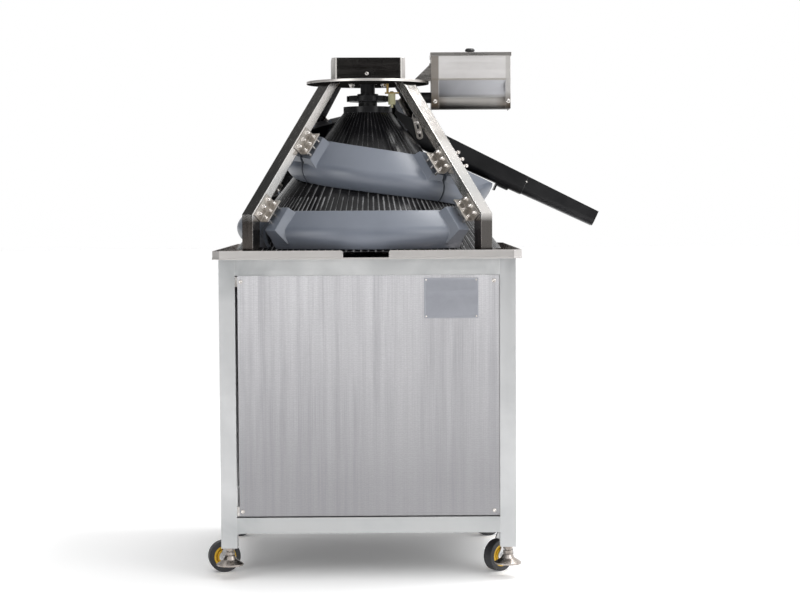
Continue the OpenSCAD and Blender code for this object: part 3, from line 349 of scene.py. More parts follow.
class Finish(Masks):
    """A material with Object coordinates, grain, smudge and edge effects laid out."""

    def __init__(self, name, stretch, contrast=1.6, smudge_scale=5.0, edge_radius=0.0015):
        self.material = bpy.data.materials.new(name)
        self.material.use_nodes = True
        self.tree = self.material.node_tree
        self.shader = self.tree.nodes["Principled BSDF"]
        self.place = self.add("ShaderNodeTexCoord").outputs["Object"]
        stretched = self.add("ShaderNodeMapping")
        stretched.inputs["Scale"].default_value = stretch
        self.link(self.place, stretched.inputs["Vector"])
        own_grain = self.group(grain, Contrast=contrast)
        self.link(stretched.outputs["Vector"], own_grain.inputs["Vector"])
        self.streak, self.height = own_grain.outputs["Streak"], own_grain.outputs["Height"]
        own_smudge = self.group(smudge, Scale=smudge_scale)
        self.link(self.place, own_smudge.inputs["Vector"])
        self.cloud = own_smudge.outputs["Mask"]
        self.edge = self.group(edge, Radius=edge_radius)
        parts = self.add("ShaderNodeSeparateXYZ")
        self.link(self.place, parts.inputs["Vector"])
        self.axis = parts.outputs

    def group(self, tree, **values):
        """Places an effect with its own values."""
        node = self.add("ShaderNodeGroup", node_tree=tree)
        for key, value in values.items():
            node.inputs[key].default_value = value
        return node

    def edges(self, share):
        """The mask of the edges, at a share of its strength."""
        return self.sums("MULTIPLY", self.edge.outputs["Edge"], share)

    def streaks(self, share):
        """The mask of the grain's streaks, at a share of its strength."""
        return self.sums("MULTIPLY", self.streak, share)

    def bump(self, height, distance, strength):
        """A bump over the rounded edge normal."""
        bump = self.add("ShaderNodeBump")
        bump.inputs["Distance"].default_value = distance
        bump.inputs["Strength"].default_value = strength
        self.link(height, bump.inputs["Height"])
        self.link(self.edge.outputs["Normal"], bump.inputs["Normal"])
        self.link(bump.outputs["Normal"], self.shader.inputs["Normal"])

    def set(self, **values):
        """Sets sockets of the shader: numbers and colours directly, sockets by a link."""
        for key, value in values.items():
            end = self.shader.inputs[key.replace("_", " ")]
            if isinstance(value, tuple):
                end.default_value = (*value, 1)
            elif isinstance(value, (int, float)):
                end.default_value = value
            else:
                self.link(value, end)
        return self.material


print("finish kit ready")

# %% [markdown]
# ### Stainless steel
# The frame tubes, tray, legs and flour box are the same steel, rolled and polished to
# different degrees. The grain runs along a tube's length, so each finish stretches its grain
# along one axis. Edges are a little brighter, partly where handling has polished them and
# partly as a painted highlight. What else a piece needs is laid over that by masks: a stain on
# the legs' feet by height, darker on faces that look right as painted shade, a cloud near
# welds by place, painted shade on faces towards the cone, and by the way a face looks a rim
# painted pale as a painted highlight and an underside painted dark as painted shade.

# %% One recipe for rolled stainless steel
ALONG = {"x": (8, 700, 700), "z": (700, 700, 8)}
WELD_CLOUD, CLOUD_NEAR, CLOUD_FAR = (0.4, 0.415, 0.42), 0.01, 0.11
POLISHED_AND_LIT_EDGE, EDGE_SHARE = (0.86, 0.85, 0.83), 0.2
STAIN_SHARE, LIT_RIM_SHARE, RIM_DULL = 0.9, 0.85, 0.16
LEFT_TO_RIGHT, UPRIGHT, OUTSIDE = (-0.2, 0.2), (0.3, 0.5), (0.0, 0.2)
DOWNWARD, INWARD = (-0.6, -0.4), (-0.6, -0.4)


def rolled_steel(name, axis, dark, light, rough, smudge_scale=5.0, streak=0.35, stain_and_side_shade=None,
                 joints=(), inner=None, lit_rim=None, shaded_under=None, edge_radius=0.0015):
    """Stainless steel with its grain along an axis, and what else a piece needs over it."""
    f = Finish(name, ALONG[axis], smudge_scale=smudge_scale, edge_radius=edge_radius)
    cloudy = f.colour(f.cloud, dark, light)
    streaky = f.colour(f.streaks(streak), cloudy, light)
    if stain_and_side_shade:
        low, high, left_tint, right_tint = stain_and_side_shade
        # The stain is darker on faces that look right: painted shade.
        side_shaded_stain = f.colour(f.level(f.face()["X"], 0.0, 1.0, *LEFT_TO_RIGHT), left_tint, right_tint)
        streaky = f.colour(f.level(f.axis["Z"], STAIN_SHARE, 0.0, low, high), streaky, side_shaded_stain)
    for letter, middle in joints:
        either_side = f.sums("ABSOLUTE", f.axis[letter], 0)
        off = f.sums("ABSOLUTE", f.sums("SUBTRACT", either_side, middle), 0)
        near = f.level(off, 1.0, 0.0, CLOUD_NEAR, CLOUD_FAR)
        streaky = f.colour(f.sums("MULTIPLY", near, f.cloud), streaky, WELD_CLOUD)
    if inner:
        # Faces towards the cone are painted dark: painted shade.
        streaky = f.colour(f.level(f.outward(), 1.0, 0.0, *INWARD), streaky, inner)
    # Edges are brightened: partly polish from handling, partly a painted highlight.
    worn_and_lit = f.colour(f.edges(EDGE_SHARE), streaky, POLISHED_AND_LIT_EDGE)
    metal = 1.0
    roughness = f.sums("ADD", f.level(f.streak, rough - 0.05, rough + 0.08),
                       f.level(f.cloud, 0.05, -0.03))
    if lit_rim:
        upright = f.level(f.sums("ABSOLUTE", f.face()["Z"], 0.0), 1.0, 0.0, *UPRIGHT)
        outer = f.sums("MULTIPLY", upright, f.level(f.outward(), 0.0, 1.0, *OUTSIDE))
        # Outward upright faces are painted pale: a painted highlight.
        worn_and_lit = f.colour(f.sums("MULTIPLY", outer, LIT_RIM_SHARE), worn_and_lit, lit_rim)
        roughness = f.sums("ADD", roughness, f.level(outer, 0.0, RIM_DULL))
    if shaded_under:
        below = f.level(f.face()["Z"], 1.0, 0.0, *DOWNWARD)
        # Downward faces are painted dark: painted shade.
        worn_and_lit = f.colour(below, worn_and_lit, shaded_under)
        metal = f.level(below, 1.0, 0.0)
        f.set(Specular_IOR_Level=f.level(below, 0.5, 0.0))
    f.bump(f.height, distance=0.0004, strength=0.12)
    return f.set(Base_Color=worn_and_lit, Metallic=metal, Roughness=roughness)


print("recipe ready")

# %% The steels of this machine
RAIL_ENDS = (("X", 0.41), ("Y", 0.41))
POST_ENDS = (("Z", 0.16), ("Z", 0.975))
LEG_CLOUD = (("Z", 1.22),)
# A stain low on the legs, darker on faces that look right as painted shade.
LEG_STAIN_AND_SHADE = (1.115, 1.14, (0.1, 0.08, 0.07), (0.035, 0.03, 0.027))
tube_upright = rolled_steel("tube_upright", "z", (0.57, 0.575, 0.58), (0.66, 0.665, 0.67),
                            rough=0.38, smudge_scale=6.0, joints=POST_ENDS)
tube_level = rolled_steel("tube_level", "x", (0.67, 0.675, 0.675), (0.77, 0.775, 0.775),
                          rough=0.34, smudge_scale=6.0, joints=RAIL_ENDS)
tube_low = rolled_steel("tube_low", "x", (0.52, 0.525, 0.525), (0.62, 0.625, 0.625),
                        rough=0.36, smudge_scale=6.0, joints=RAIL_ENDS)
# The legs take painted shade on their faces towards the cone.
leg_steel = rolled_steel("leg_steel", "z", (0.58, 0.555, 0.53), (0.66, 0.64, 0.615),
                         rough=0.14, smudge_scale=2.5, streak=0.1, stain_and_side_shade=LEG_STAIN_AND_SHADE,
                         joints=LEG_CLOUD, inner=(0.05, 0.048, 0.046), edge_radius=0.0035)
# The plate's rim is painted pale as a painted highlight, and its underside dark as painted
# shade.
plate_steel = rolled_steel("plate_steel", "x", (0.07, 0.06, 0.055), (0.16, 0.15, 0.14),
                           rough=0.22, smudge_scale=9.0, lit_rim=(0.8, 0.77, 0.74),
                           shaded_under=(0.02, 0.019, 0.018))
# The tray's rim is painted pale as a painted highlight.
tray_steel = rolled_steel("tray_steel", "x", (0.29, 0.26, 0.245), (0.45, 0.42, 0.405),
                          rough=0.24, smudge_scale=7.0, lit_rim=(0.62, 0.6, 0.585))
bracket_steel = rolled_steel("bracket_steel", "z", (0.3, 0.275, 0.25), (0.52, 0.49, 0.455),
                             rough=0.3, smudge_scale=22.0)
foot_steel = rolled_steel("foot_steel", "z", (0.3, 0.26, 0.23), (0.5, 0.46, 0.43),
                          rough=0.26, smudge_scale=30.0)
fork_zinc = rolled_steel("fork_zinc", "z", (0.5, 0.5, 0.5), (0.66, 0.66, 0.66),
                         rough=0.4, smudge_scale=40.0)
bolt_steel = rolled_steel("bolt_steel", "z", (0.56, 0.52, 0.48), (0.78, 0.75, 0.72),
                          rough=0.2, smudge_scale=60.0)
plate_aluminium = rolled_steel("plate_aluminium", "x", (0.34, 0.35, 0.385), (0.4, 0.41, 0.45),
                               rough=0.42, smudge_scale=12.0)
small_steel = rolled_steel("small_steel", "z", (0.42, 0.4, 0.38), (0.66, 0.64, 0.62),
                           rough=0.24, smudge_scale=30.0)
print("stainless finishes made")

# %% [markdown]
# ### The cover
# The cover's broad faces are polished, so they show the dim side of the room, and their
# colour is also painted dark as a painted dark reflection. The sheet was bent at the corners.
# Its ends, the faces that look sideways, are rougher and painted pale as a painted highlight.
# A mask on the direction that a face looks in tells the two apart.

# %% Cover steel
f = Finish("cover_steel", ALONG["x"], smudge_scale=5.0)
dull_lit_ends = f.level(f.sums("ABSOLUTE", f.face()["X"], 0.0), 0.0, 1.0, 0.2, 0.8)
# The broad faces are painted dark: a painted dark reflection of the dim room.
cloudy = f.colour(f.cloud, (0.1, 0.094, 0.088), (0.2, 0.19, 0.18))
streaky = f.colour(f.streaks(0.3), cloudy, (0.2, 0.19, 0.18))
# The ends are painted pale: a painted highlight.
ends_painted_pale = f.colour(dull_lit_ends, streaky, (0.6, 0.58, 0.56))
# Edges are brightened: partly wear, partly a painted highlight.
worn_and_lit = f.colour(f.edges(0.3), ends_painted_pale, (0.8, 0.79, 0.77))
f.bump(f.height, distance=0.0004, strength=0.12)
roughness = f.sums("ADD", f.level(dull_lit_ends, 0.14, 0.5), f.level(f.streak, -0.03, 0.06))
cover_steel = f.set(Base_Color=worn_and_lit, Metallic=f.level(dull_lit_ends, 1.0, 0.2), Roughness=roughness)
print("cover finish made")

# %% [markdown]
# ### The flour box
# The box is folded from one sheet. Its upright face is ground dull and pale. The slope under
# the fold is smoother, and painted darker and bluish as a painted reflection of the floor. The
# round bottom and its lowest strip are painted darker as painted shade. The left end flange is
# painted dark as painted shade and the right one pale as a painted highlight, and welding has
# tinted the lower corners brown. All of these depend only on the place, so masks on the
# coordinates do it.

# %% Flour box steel
FOLD, ROLL_TOP, BOX_LOW = 1.577, 1.527, 1.482
FLANGE_LEFT, FLANGE_RIGHT = 0.236, 0.452
f = Finish("box_steel", ALONG["x"], smudge_scale=6.0)
above = f.level(f.axis["Z"], 0.0, 1.0, FOLD - 0.002, FOLD + 0.002)
ground = f.colour(f.cloud, (0.74, 0.72, 0.71), (0.85, 0.83, 0.82))
# The slope is painted darker and bluish: a painted reflection of the floor.
slope = f.colour(f.cloud, (0.52, 0.53, 0.56), (0.64, 0.65, 0.68))
# The round bottom is painted darker: painted shade.
rolled = f.level(f.axis["Z"], 0.9, 0.0, ROLL_TOP - 0.01, ROLL_TOP + 0.004)
faces = f.colour(above, f.colour(rolled, slope, (0.3, 0.285, 0.265)), ground)
off_fold = f.sums("ABSOLUTE", f.sums("SUBTRACT", f.axis["Z"], FOLD), 0.0)
folded = f.colour(f.level(off_fold, 0.8, 0.0, 0.002, 0.0045), faces, (0.4, 0.37, 0.33))
# The left flange is painted dark as painted shade, the right one pale as a painted highlight.
left_end = f.level(f.axis["X"], 0.85, 0.0, FLANGE_LEFT - 0.004, FLANGE_LEFT)
right_end = f.level(f.axis["X"], 0.0, 0.85, FLANGE_RIGHT, FLANGE_RIGHT + 0.004)
flanged = f.colour(right_end, f.colour(left_end, folded, (0.24, 0.21, 0.18)), (0.6, 0.58, 0.56))
near_left = f.level(f.axis["X"], 1.0, 0.0, FLANGE_LEFT - 0.01, FLANGE_LEFT + 0.03)
near_right = f.level(f.axis["X"], 0.0, 1.0, FLANGE_RIGHT - 0.03, FLANGE_RIGHT + 0.01)
low_down = f.level(f.axis["Z"], 0.95, 0.0, BOX_LOW + 0.01, BOX_LOW + 0.055)
heat = f.sums("MULTIPLY", f.sums("MAXIMUM", near_left, near_right), low_down)
scorched = f.colour(heat, flanged, (0.12, 0.09, 0.065))
# The lowest strip is painted near black: painted shade.
bottom = f.level(f.axis["Z"], 0.9, 0.0, BOX_LOW, BOX_LOW + 0.014)
bottom_shaded = f.colour(bottom, scorched, (0.05, 0.045, 0.04))
# Edges are brightened: partly wear, partly a painted highlight.
worn_and_lit = f.colour(f.edges(0.3), bottom_shaded, (0.8, 0.79, 0.77))
f.bump(f.height, distance=0.0004, strength=0.15)
roughness = f.sums("ADD", f.level(above, 0.4, 0.42), f.level(f.streak, -0.04, 0.08))
box_steel = f.set(Base_Color=worn_and_lit, Metallic=1.0, Roughness=roughness)
lid_steel = rolled_steel("lid_steel", "x", (0.36, 0.34, 0.32), (0.56, 0.54, 0.52),
                         rough=0.24, smudge_scale=8.0)
print("flour box finish made")

# %% [markdown]
# ### Sheet panels
# The cabinet's panels are duller than the tubes. Their grain stands upright, in fine streaks
# and in broad bands, and over it lies a faint ripple from the rolls, which shows as rows of
# fine zigzags. They are painted darker towards the floor, as painted shade.

# %% Brushed panel
SHADE_LOW, SHADE_HIGH = 0.3, 0.98
f = Finish("panel_sheet", (420, 420, 5), contrast=2.2, smudge_scale=2.2)
ripple = f.add("ShaderNodeTexWave", bands_direction="Z")
ripple.inputs["Scale"].default_value = 55
ripple.inputs["Distortion"].default_value = 7.0
ripple.inputs["Detail"].default_value = 2.0
ripple.inputs["Detail Scale"].default_value = 2.5
f.link(f.place, ripple.inputs["Vector"])
cloudy = f.colour(f.cloud, (0.5, 0.495, 0.515), (0.58, 0.575, 0.59))
bands = f.group(grain, Contrast=3.0)
wide = f.add("ShaderNodeMapping")
wide.inputs["Scale"].default_value = (60, 60, 1.2)
f.link(f.place, wide.inputs["Vector"])
f.link(wide.outputs["Vector"], bands.inputs["Vector"])
banded = f.colour(f.sums("MULTIPLY", bands.outputs["Streak"], 0.4), cloudy, (0.42, 0.415, 0.44))
streaky = f.colour(f.streaks(0.75), banded, (0.74, 0.735, 0.75))
rippled = f.colour(f.sums("MULTIPLY", ripple.outputs["Fac"], 0.3), streaky, (0.4, 0.395, 0.415))
# Painted shade: the panels are painted darker towards the floor.
low_shade = f.level(f.axis["Z"], 0.58, 0.0, SHADE_LOW, SHADE_HIGH)
shaded_low = f.colour(low_shade, rippled, (0.19, 0.187, 0.198))
# Edges are brightened: partly wear, partly a painted highlight.
worn_and_lit = f.colour(f.edges(0.3), shaded_low, (0.8, 0.8, 0.8))
relief = f.sums("ADD", f.height, f.sums("MULTIPLY", ripple.outputs["Fac"], 0.4))
f.bump(relief, distance=0.0006, strength=0.25)
panel_sheet = f.set(Base_Color=worn_and_lit, Metallic=0.8,
                    Roughness=f.level(f.streak, 0.44, 0.58))
print("panel finish made")

# %% [markdown]
# ### Coats on the castings
# The track segments are cast and sprayed a satin blue-grey outside. Their inner faces are
# black, like the cone and the chute. The inner faces are those that point towards the cone's
# axis, so the angle between a face's normal and its place gives the mask.

# %% Track coat
f = Finish("track_coat", (260, 260, 260), contrast=1.2, smudge_scale=4.0, edge_radius=0.004)
inner = f.level(f.outward(), 1.0, 0.0, -0.45, -0.3)
grey = f.colour(f.cloud, (0.12, 0.136, 0.168), (0.142, 0.159, 0.194))
grainy = f.colour(f.streaks(0.15), grey, (0.18, 0.198, 0.235))
# Edges are brightened: partly wear, partly a painted highlight.
worn_and_lit = f.colour(f.edges(0.3), grainy, (0.36, 0.38, 0.41))
inner_black = f.colour(inner, worn_and_lit, (0.016, 0.016, 0.018))
f.bump(f.height, distance=0.0005, strength=0.16)
track_coat = f.set(Base_Color=inner_black, Roughness=f.level(f.cloud, 0.32, 0.4),
                   Specular_IOR_Level=0.6)
print("track coat made")

# %% Black coat
def black_coat(name, rough, shine):
    """Black non-stick coat, with a painted highlight along its edges."""
    f = Finish(name, (340, 340, 340), contrast=1.4, smudge_scale=9.0, edge_radius=0.002)
    cloudy = f.colour(f.cloud, (0.005, 0.005, 0.006), (0.011, 0.011, 0.012))
    worn_and_lit = f.colour(f.edges(0.5), cloudy, shine)
    f.bump(f.height, distance=0.0005, strength=0.2)
    return f.set(Base_Color=worn_and_lit, Specular_IOR_Level=0.3,
                 Roughness=f.level(f.cloud, rough, rough + 0.12))


chute_coat = black_coat("chute_coat", rough=0.34, shine=(0.3, 0.3, 0.3))
cap_coat = black_coat("cap_coat", rough=0.3, shine=(0.1, 0.1, 0.11))
print("black coats made")

# %% [markdown]
# ### The fluted cone
# The cone's ribs are polished by the dough, so their crests show thin bright lines, partly
# where the black coat has worn through and partly as a painted highlight. The edge effect finds
# the crests by itself. Low down, the long and the short flutes are scraped bright, with a
# painted highlight in uneven patches: the angle round the axis says where they lie.

# %% Cone coat
FLUTE_PAIRS, SHORT_TOP, LONG_LOW, LONG_TOP = 60, 1.195, 1.16, 1.26
SHORT_PART, LONG_PART = (0.54, 0.66), (0.05, 0.15)
f = Finish("cone_coat", (500, 500, 30), contrast=1.5, smudge_scale=7.0, edge_radius=0.0025)
cloudy = f.colour(f.cloud, (0.004, 0.004, 0.005), (0.009, 0.009, 0.010))
patch = f.level(f.cloud, 0.1, 0.75, 0.4, 0.9)
crest = f.edges(f.streaks(patch))
# Crest lines: partly worn coat, partly a painted highlight.
crests_worn_and_lit = f.colour(crest, cloudy, (0.8, 0.8, 0.81))
angle = f.sums("ARCTAN2", f.axis["Y"], f.axis["X"])
turns = f.sums("MULTIPLY", angle, FLUTE_PAIRS / math.tau)
pair = f.sums("FRACT", f.sums("ADD", turns, FLUTE_PAIRS), 0.0)


def scraped_and_lit(part, low, high):
    """A mask of the flutes in one part of each pair, which fades out between two heights."""
    start, end = f.sums("GREATER_THAN", pair, part[0]), f.sums("LESS_THAN", pair, part[1])
    fading = f.level(f.axis["Z"], 1.0, 0.0, low, high)
    return f.sums("MULTIPLY", f.sums("MULTIPLY", start, end), fading)


short_flutes = scraped_and_lit(SHORT_PART, SHORT_TOP - 0.006, SHORT_TOP)
long_flutes = scraped_and_lit(LONG_PART, LONG_LOW, LONG_TOP)
uneven = f.sums("MULTIPLY", f.level(f.streak, 0.1, 0.9),
                f.level(f.cloud, 0.25, 1.0))
scrape_and_sheen = f.sums("MULTIPLY", f.sums("MAXIMUM", short_flutes, long_flutes), uneven)
# The scraped flutes are bare metal, brightened further in uneven patches as a painted highlight.
worn_and_lit = f.colour(scrape_and_sheen, crests_worn_and_lit, (0.85, 0.85, 0.87))
f.bump(f.height, distance=0.0004, strength=0.15)
cone_coat = f.set(Base_Color=worn_and_lit, Specular_IOR_Level=0.3,
                  Roughness=f.level(f.cloud, 0.2, 0.32))
print("cone coat made")

# %% [markdown]
# ### Paint, plastic, rubber and brass
# The small parts are plainer: sprayed paint on the drive, moulded plastic on the knob, the
# gland, the sensor and the hubs, solid rubber on the tyres, and a yellow plated bracket.

# %% Small finishes
def speckled(name, dark, light, rough, metal=0.0, size=420, edge_light=None):
    """A coat or moulding with a fine speckle and edges brightened as a painted highlight."""
    f = Finish(name, (size, size, size), contrast=1.4, smudge_scale=14.0, edge_radius=0.0012)
    cloudy = f.colour(f.cloud, dark, light)
    worn_and_lit = f.colour(f.edges(0.5), cloudy, edge_light or light)
    f.bump(f.height, distance=0.0004, strength=0.18)
    return f.set(Base_Color=worn_and_lit, Metallic=metal,
                 Roughness=f.level(f.streak, rough, rough + 0.12))


drive_paint = speckled("drive_paint", (0.035, 0.06, 0.12), (0.05, 0.08, 0.15), rough=0.4,
                       edge_light=(0.12, 0.15, 0.22))
motor_paint = speckled("motor_paint", (0.012, 0.012, 0.014), (0.025, 0.025, 0.027), rough=0.42)
black_moulding = speckled("black_moulding", (0.010, 0.010, 0.011), (0.024, 0.024, 0.025),
                          rough=0.4)
sensor_moulding = speckled("sensor_moulding", (0.46, 0.44, 0.24), (0.58, 0.56, 0.36), rough=0.38)
brass_plate = speckled("brass_plate", (0.45, 0.28, 0.08), (0.62, 0.45, 0.18), rough=0.32,
                       metal=1.0)
hub_moulding = speckled("hub_moulding", (0.62, 0.36, 0.01), (0.74, 0.46, 0.015), rough=0.4)
tyre_rubber = speckled("tyre_rubber", (0.028, 0.028, 0.031), (0.045, 0.045, 0.05), rough=0.55,
                       size=900)
print("small finishes made")

# %% [markdown]
# ## Dressing the solids
# The CAD solids stay as they are, and only their material slots change. One table says which
# finish each solid takes, and what it doesn't name is small plain steel.

# %% Give each solid its finish
CORNERS = ("front_left", "front_right", "rear_left", "rear_right")
TRACKS = ("track_lower_front", "track_lower_left", "track_lower_rear", "track_right",
          "track_upper_front", "track_upper_left", "track_upper_rear")
dress = {
    "corner_posts": tube_upright, "top_rails": tube_level, "bottom_rails": tube_low,
    "tray": tray_steel, "tower_legs": leg_steel,
    "top_plate": plate_steel, "top_cover": cover_steel,
    "duster_box": box_steel, "duster_arm": lid_steel, "duster_lid": lid_steel,
    "track_brackets": bracket_steel, "track_studs": bolt_steel, "chute_strap": bracket_steel,
    "front_panel": panel_sheet, "rear_panel": panel_sheet,
    "left_panel": panel_sheet, "right_panel": panel_sheet,
    "cone": cone_coat, "cone_cap": cap_coat,
    "trigger_disc": cap_coat, "cone_shaft": cap_coat,
    "chute_trough": chute_coat, "chute_extension": chute_coat,
    "chute_bracket": chute_coat, "chute_crossbar": chute_coat,
    "gearbox": drive_paint, "drive_motor": drive_paint, "duster_motor": motor_paint,
    "lid_knob": black_moulding, "cable_gland": black_moulding,
    "sensor": sensor_moulding, "sensor_bracket": brass_plate,
}
dress.update({name: track_coat for name in TRACKS})
dress.update({"wheel_hub_" + c: hub_moulding for c in CORNERS})
dress.update({"tyre_" + c: tyre_rubber for c in CORNERS})
dress.update({"foot_" + c: foot_steel for c in CORNERS})
dress.update({"caster_fork_" + c: fork_zinc for c in CORNERS})
for name, solid in nodes.items():
    finish = dress.get(name, small_steel)
    solid.data.materials.clear()
    solid.data.materials.append(finish)
print(f"dressed {len(nodes)} solids")

# %% [markdown]
# ## Smooth castings
# The track segments are cast with soft, round curls, but a CAD mesh is made of flat facets.
# A subdivision could round them, but it would also pull in the ends. So each segment is
# copied, its loose triangles are merged, the normals it came with are cleared, and shading
# by angle smooths all but the true edges. The curl's facets turn by less than that angle.

# %% Tools for modelling by hand
def begin(add, name, **size):
    """Adds a primitive with nothing else selected, and keeps its place in its mesh."""
    bpy.ops.object.select_all(action="DESELECT")
    add(**size)
    bpy.ops.object.transform_apply(location=True, rotation=True, scale=True)
    piece = bpy.context.object
    piece.name = name
    return piece


def pick(piece, test):
    """Selects the faces that pass a test, and leaves the piece in edit mode."""
    bpy.ops.object.mode_set(mode="EDIT")
    bpy.ops.mesh.select_mode(type="FACE")
    bpy.ops.mesh.select_all(action="DESELECT")
    bpy.ops.object.mode_set(mode="OBJECT")
    for face in piece.data.polygons:
        face.select = test(face)
    bpy.ops.object.mode_set(mode="EDIT")


def hold(*pieces):
    """Selects these pieces alone, the first one active."""
    bpy.ops.object.select_all(action="DESELECT")
    for piece in pieces:
        piece.select_set(True)
    bpy.context.view_layer.objects.active = pieces[0]


def own_copy(piece, name):
    """A copy of a piece with a mesh of its own."""
    copy = bpy.data.objects.new(name, piece.data.copy())
    bpy.context.collection.objects.link(copy)
    return copy


def settle(piece, name, finish, body="machine"):
    """Names a finished piece, gives it its finish, and lets it ride on a body."""
    piece.name = name
    piece.data.materials.clear()
    piece.data.materials.append(finish)
    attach(piece, body)


print("tools ready")

# %% Copy the track segments and smooth them
SMOOTH_ANGLE = math.radians(20)
MERGE_WITHIN = 0.02 * MM
for name in TRACKS:
    casting = own_copy(nodes[name], name + "_casting")
    hold(casting)
    bpy.ops.object.mode_set(mode="EDIT")
    bpy.ops.mesh.select_all(action="SELECT")
    bpy.ops.mesh.remove_doubles(threshold=MERGE_WITHIN)
    bpy.ops.object.mode_set(mode="OBJECT")
    bpy.ops.mesh.customdata_custom_splitnormals_clear()
    bpy.ops.object.shade_smooth_by_angle(angle=SMOOTH_ANGLE, keep_sharp_edges=False)
    settle(casting, name + "_casting", track_coat)
    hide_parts(name)
print(f"smoothed {len(TRACKS)} castings")

# %% [markdown]
# ## Fasteners
# Each end of a track hangs on studs in a steel angle, which is bolted to a leg. A nut, its
# washer and its threaded end could be cut from one cylinder, but three simple shapes joined
# are easier to follow: a six-sided drum with rounded corners, a flat ring, and a rod whose
# thread is drawn up ring by ring. They are modelled once, at the origin along Z, and copied.
# The right segment's upper end hangs on longer bolts, which end in domed nuts.

# %% Tools for round parts
THREAD_SHARE, TIP_SHARE, WASHER_SHARE = 0.86, 0.25, 0.16
ROD_SIDES, WASHER_SIDES = 14, 24
FASTENER_ANGLE = math.radians(32)


def upward(face):
    """Whether a face looks up."""
    return face.normal.z > 0.9


def drum(name, sides, radius, low, high, chamfer, steps):
    """A drum between two heights, with its upper rim rounded."""
    made = begin(bpy.ops.mesh.primitive_cylinder_add, name, vertices=sides, radius=radius * MM,
                 depth=(high - low) * MM, location=(0, 0, (low + high) / 2 * MM))
    pick(made, upward)
    bpy.ops.mesh.bevel(offset=chamfer * MM, segments=steps)
    bpy.ops.object.mode_set(mode="OBJECT")
    return made


def washer(radius):
    """A flat ring with a soft rim, and its thickness."""
    thick = radius * WASHER_SHARE
    return drum("washer", WASHER_SIDES, radius, 0, thick, thick * 0.4, 2), thick


def threaded_end(radius, low, high, rings):
    """A rod end whose thread is a row of rings, drawn up from a disc."""
    end = begin(bpy.ops.mesh.primitive_circle_add, "threaded_end", vertices=ROD_SIDES,
                radius=radius * MM, fill_type="NGON", location=(0, 0, low * MM))
    step, tip = (high - low) / rings / 2 * MM, radius * TIP_SHARE * MM
    bpy.ops.object.mode_set(mode="EDIT")
    bpy.ops.mesh.select_all(action="SELECT")
    for k in range(2 * rings):
        bpy.ops.mesh.extrude_region_move(TRANSFORM_OT_translate={"value": (0, 0, step)})
        share = THREAD_SHARE if k % 2 == 0 else 1 / THREAD_SHARE
        bpy.ops.transform.resize(value=(share, share, 1))
    bpy.ops.mesh.inset(thickness=tip)
    bpy.ops.transform.translate(value=(0, 0, tip))
    bpy.ops.mesh.select_all(action="SELECT")
    bpy.ops.mesh.normals_make_consistent(inside=False)
    bpy.ops.object.mode_set(mode="OBJECT")
    return end


def joined(name, *parts):
    """One fastener made of its parts, smooth except at true edges."""
    hold(*parts)
    bpy.ops.object.join()
    bpy.ops.object.shade_smooth_by_angle(angle=FASTENER_ANGLE)
    bpy.context.object.name = name
    return bpy.context.object


print("tools for round parts ready")

# %% Model a nut with its washer and bolt end
NUT_SHARE = 0.9


def bolt_end(name, nut_r, washer_r, rod_r, reach):
    """A washer, a nut and a threaded end that stands out of it."""
    ring, thick = washer(washer_r)
    high = nut_r * NUT_SHARE
    return joined(name, ring, drum("nut", 6, nut_r, thick, thick + high, nut_r * 0.1, 2),
                  threaded_end(rod_r, thick + high * 0.9, reach, rings=4))


leg_bolt = joined(
    "leg_bolt", bolt_end("short_rod", nut_r=6, washer_r=7.5, rod_r=3.6, reach=11),
    drum("cap", sides=12, radius=4.6, low=6, high=13, chamfer=3, steps=4))
long_bolt = joined(
    "long_bolt", bolt_end("long_rod", nut_r=6.5, washer_r=8, rod_r=3.8, reach=30),
    drum("cap_nut", sides=6, radius=6.2, low=27, high=39, chamfer=4, steps=4))
stud_nut = bolt_end("stud_nut", nut_r=4.8, washer_r=6, rod_r=2.8, reach=9)
print(f"one bolt end has {len(leg_bolt.data.polygons)} faces")

# %% [markdown]
# Domed screws hold the panels, and capped bolts the bearing. A socket could be cut with a
# boolean, but that leaves untidy faces, so each head is a drum whose top is inset and pressed
# in.

# %% Model a screw with a domed head and a round socket
SCREW_SIDES = 20


def press_top(head, border, depth):
    """Insets the top face of a head and presses it in."""
    top = max(face.center.z for face in head.data.polygons)
    pick(head, lambda face: face.normal.z > 0.99 and face.center.z > top - 0.1 * MM)
    bpy.ops.mesh.inset(thickness=border * MM)
    bpy.ops.transform.translate(value=(0, 0, -depth * MM))
    bpy.ops.object.mode_set(mode="OBJECT")


def domed_screw(name, radius, high, socket):
    """A domed head with a round socket, which takes up a share of its flat top."""
    dome = high * 0.75
    head = drum(name, SCREW_SIDES, radius, 0, high, dome, 4)
    press_top(head, (radius - dome) * (1 - socket), high * 0.5)
    return joined(name, head)


def capped_bolt(name, head_r, head_h, washer_r):
    """A six-sided head on a washer, its top dished a little."""
    ring, thick = washer(washer_r)
    head = drum("head", 6, head_r, thick, thick + head_h, head_r * 0.12, 2)
    press_top(head, head_r * 0.2, head_h * 0.12)
    return joined(name, ring, head)


panel_screw = domed_screw("panel_screw", radius=6.5, high=3, socket=0.6)
rivet = domed_screw("rivet", radius=3, high=1.4, socket=0.3)
cap_bolt = capped_bolt("cap_bolt", head_r=8, head_h=6, washer_r=10)
small_bolt = capped_bolt("small_bolt", head_r=5.5, head_h=4, washer_r=7)
print("screws and bolts modelled")

# %% [markdown]
# The bolts sit in slanting frames: each leg stands at its own turn round the cone, and the
# angles follow the cone's slope. The same sums that place the solids place the bolts: a
# turn about the axis, a step out to the cone's surface, and a lean by the cone's slope.

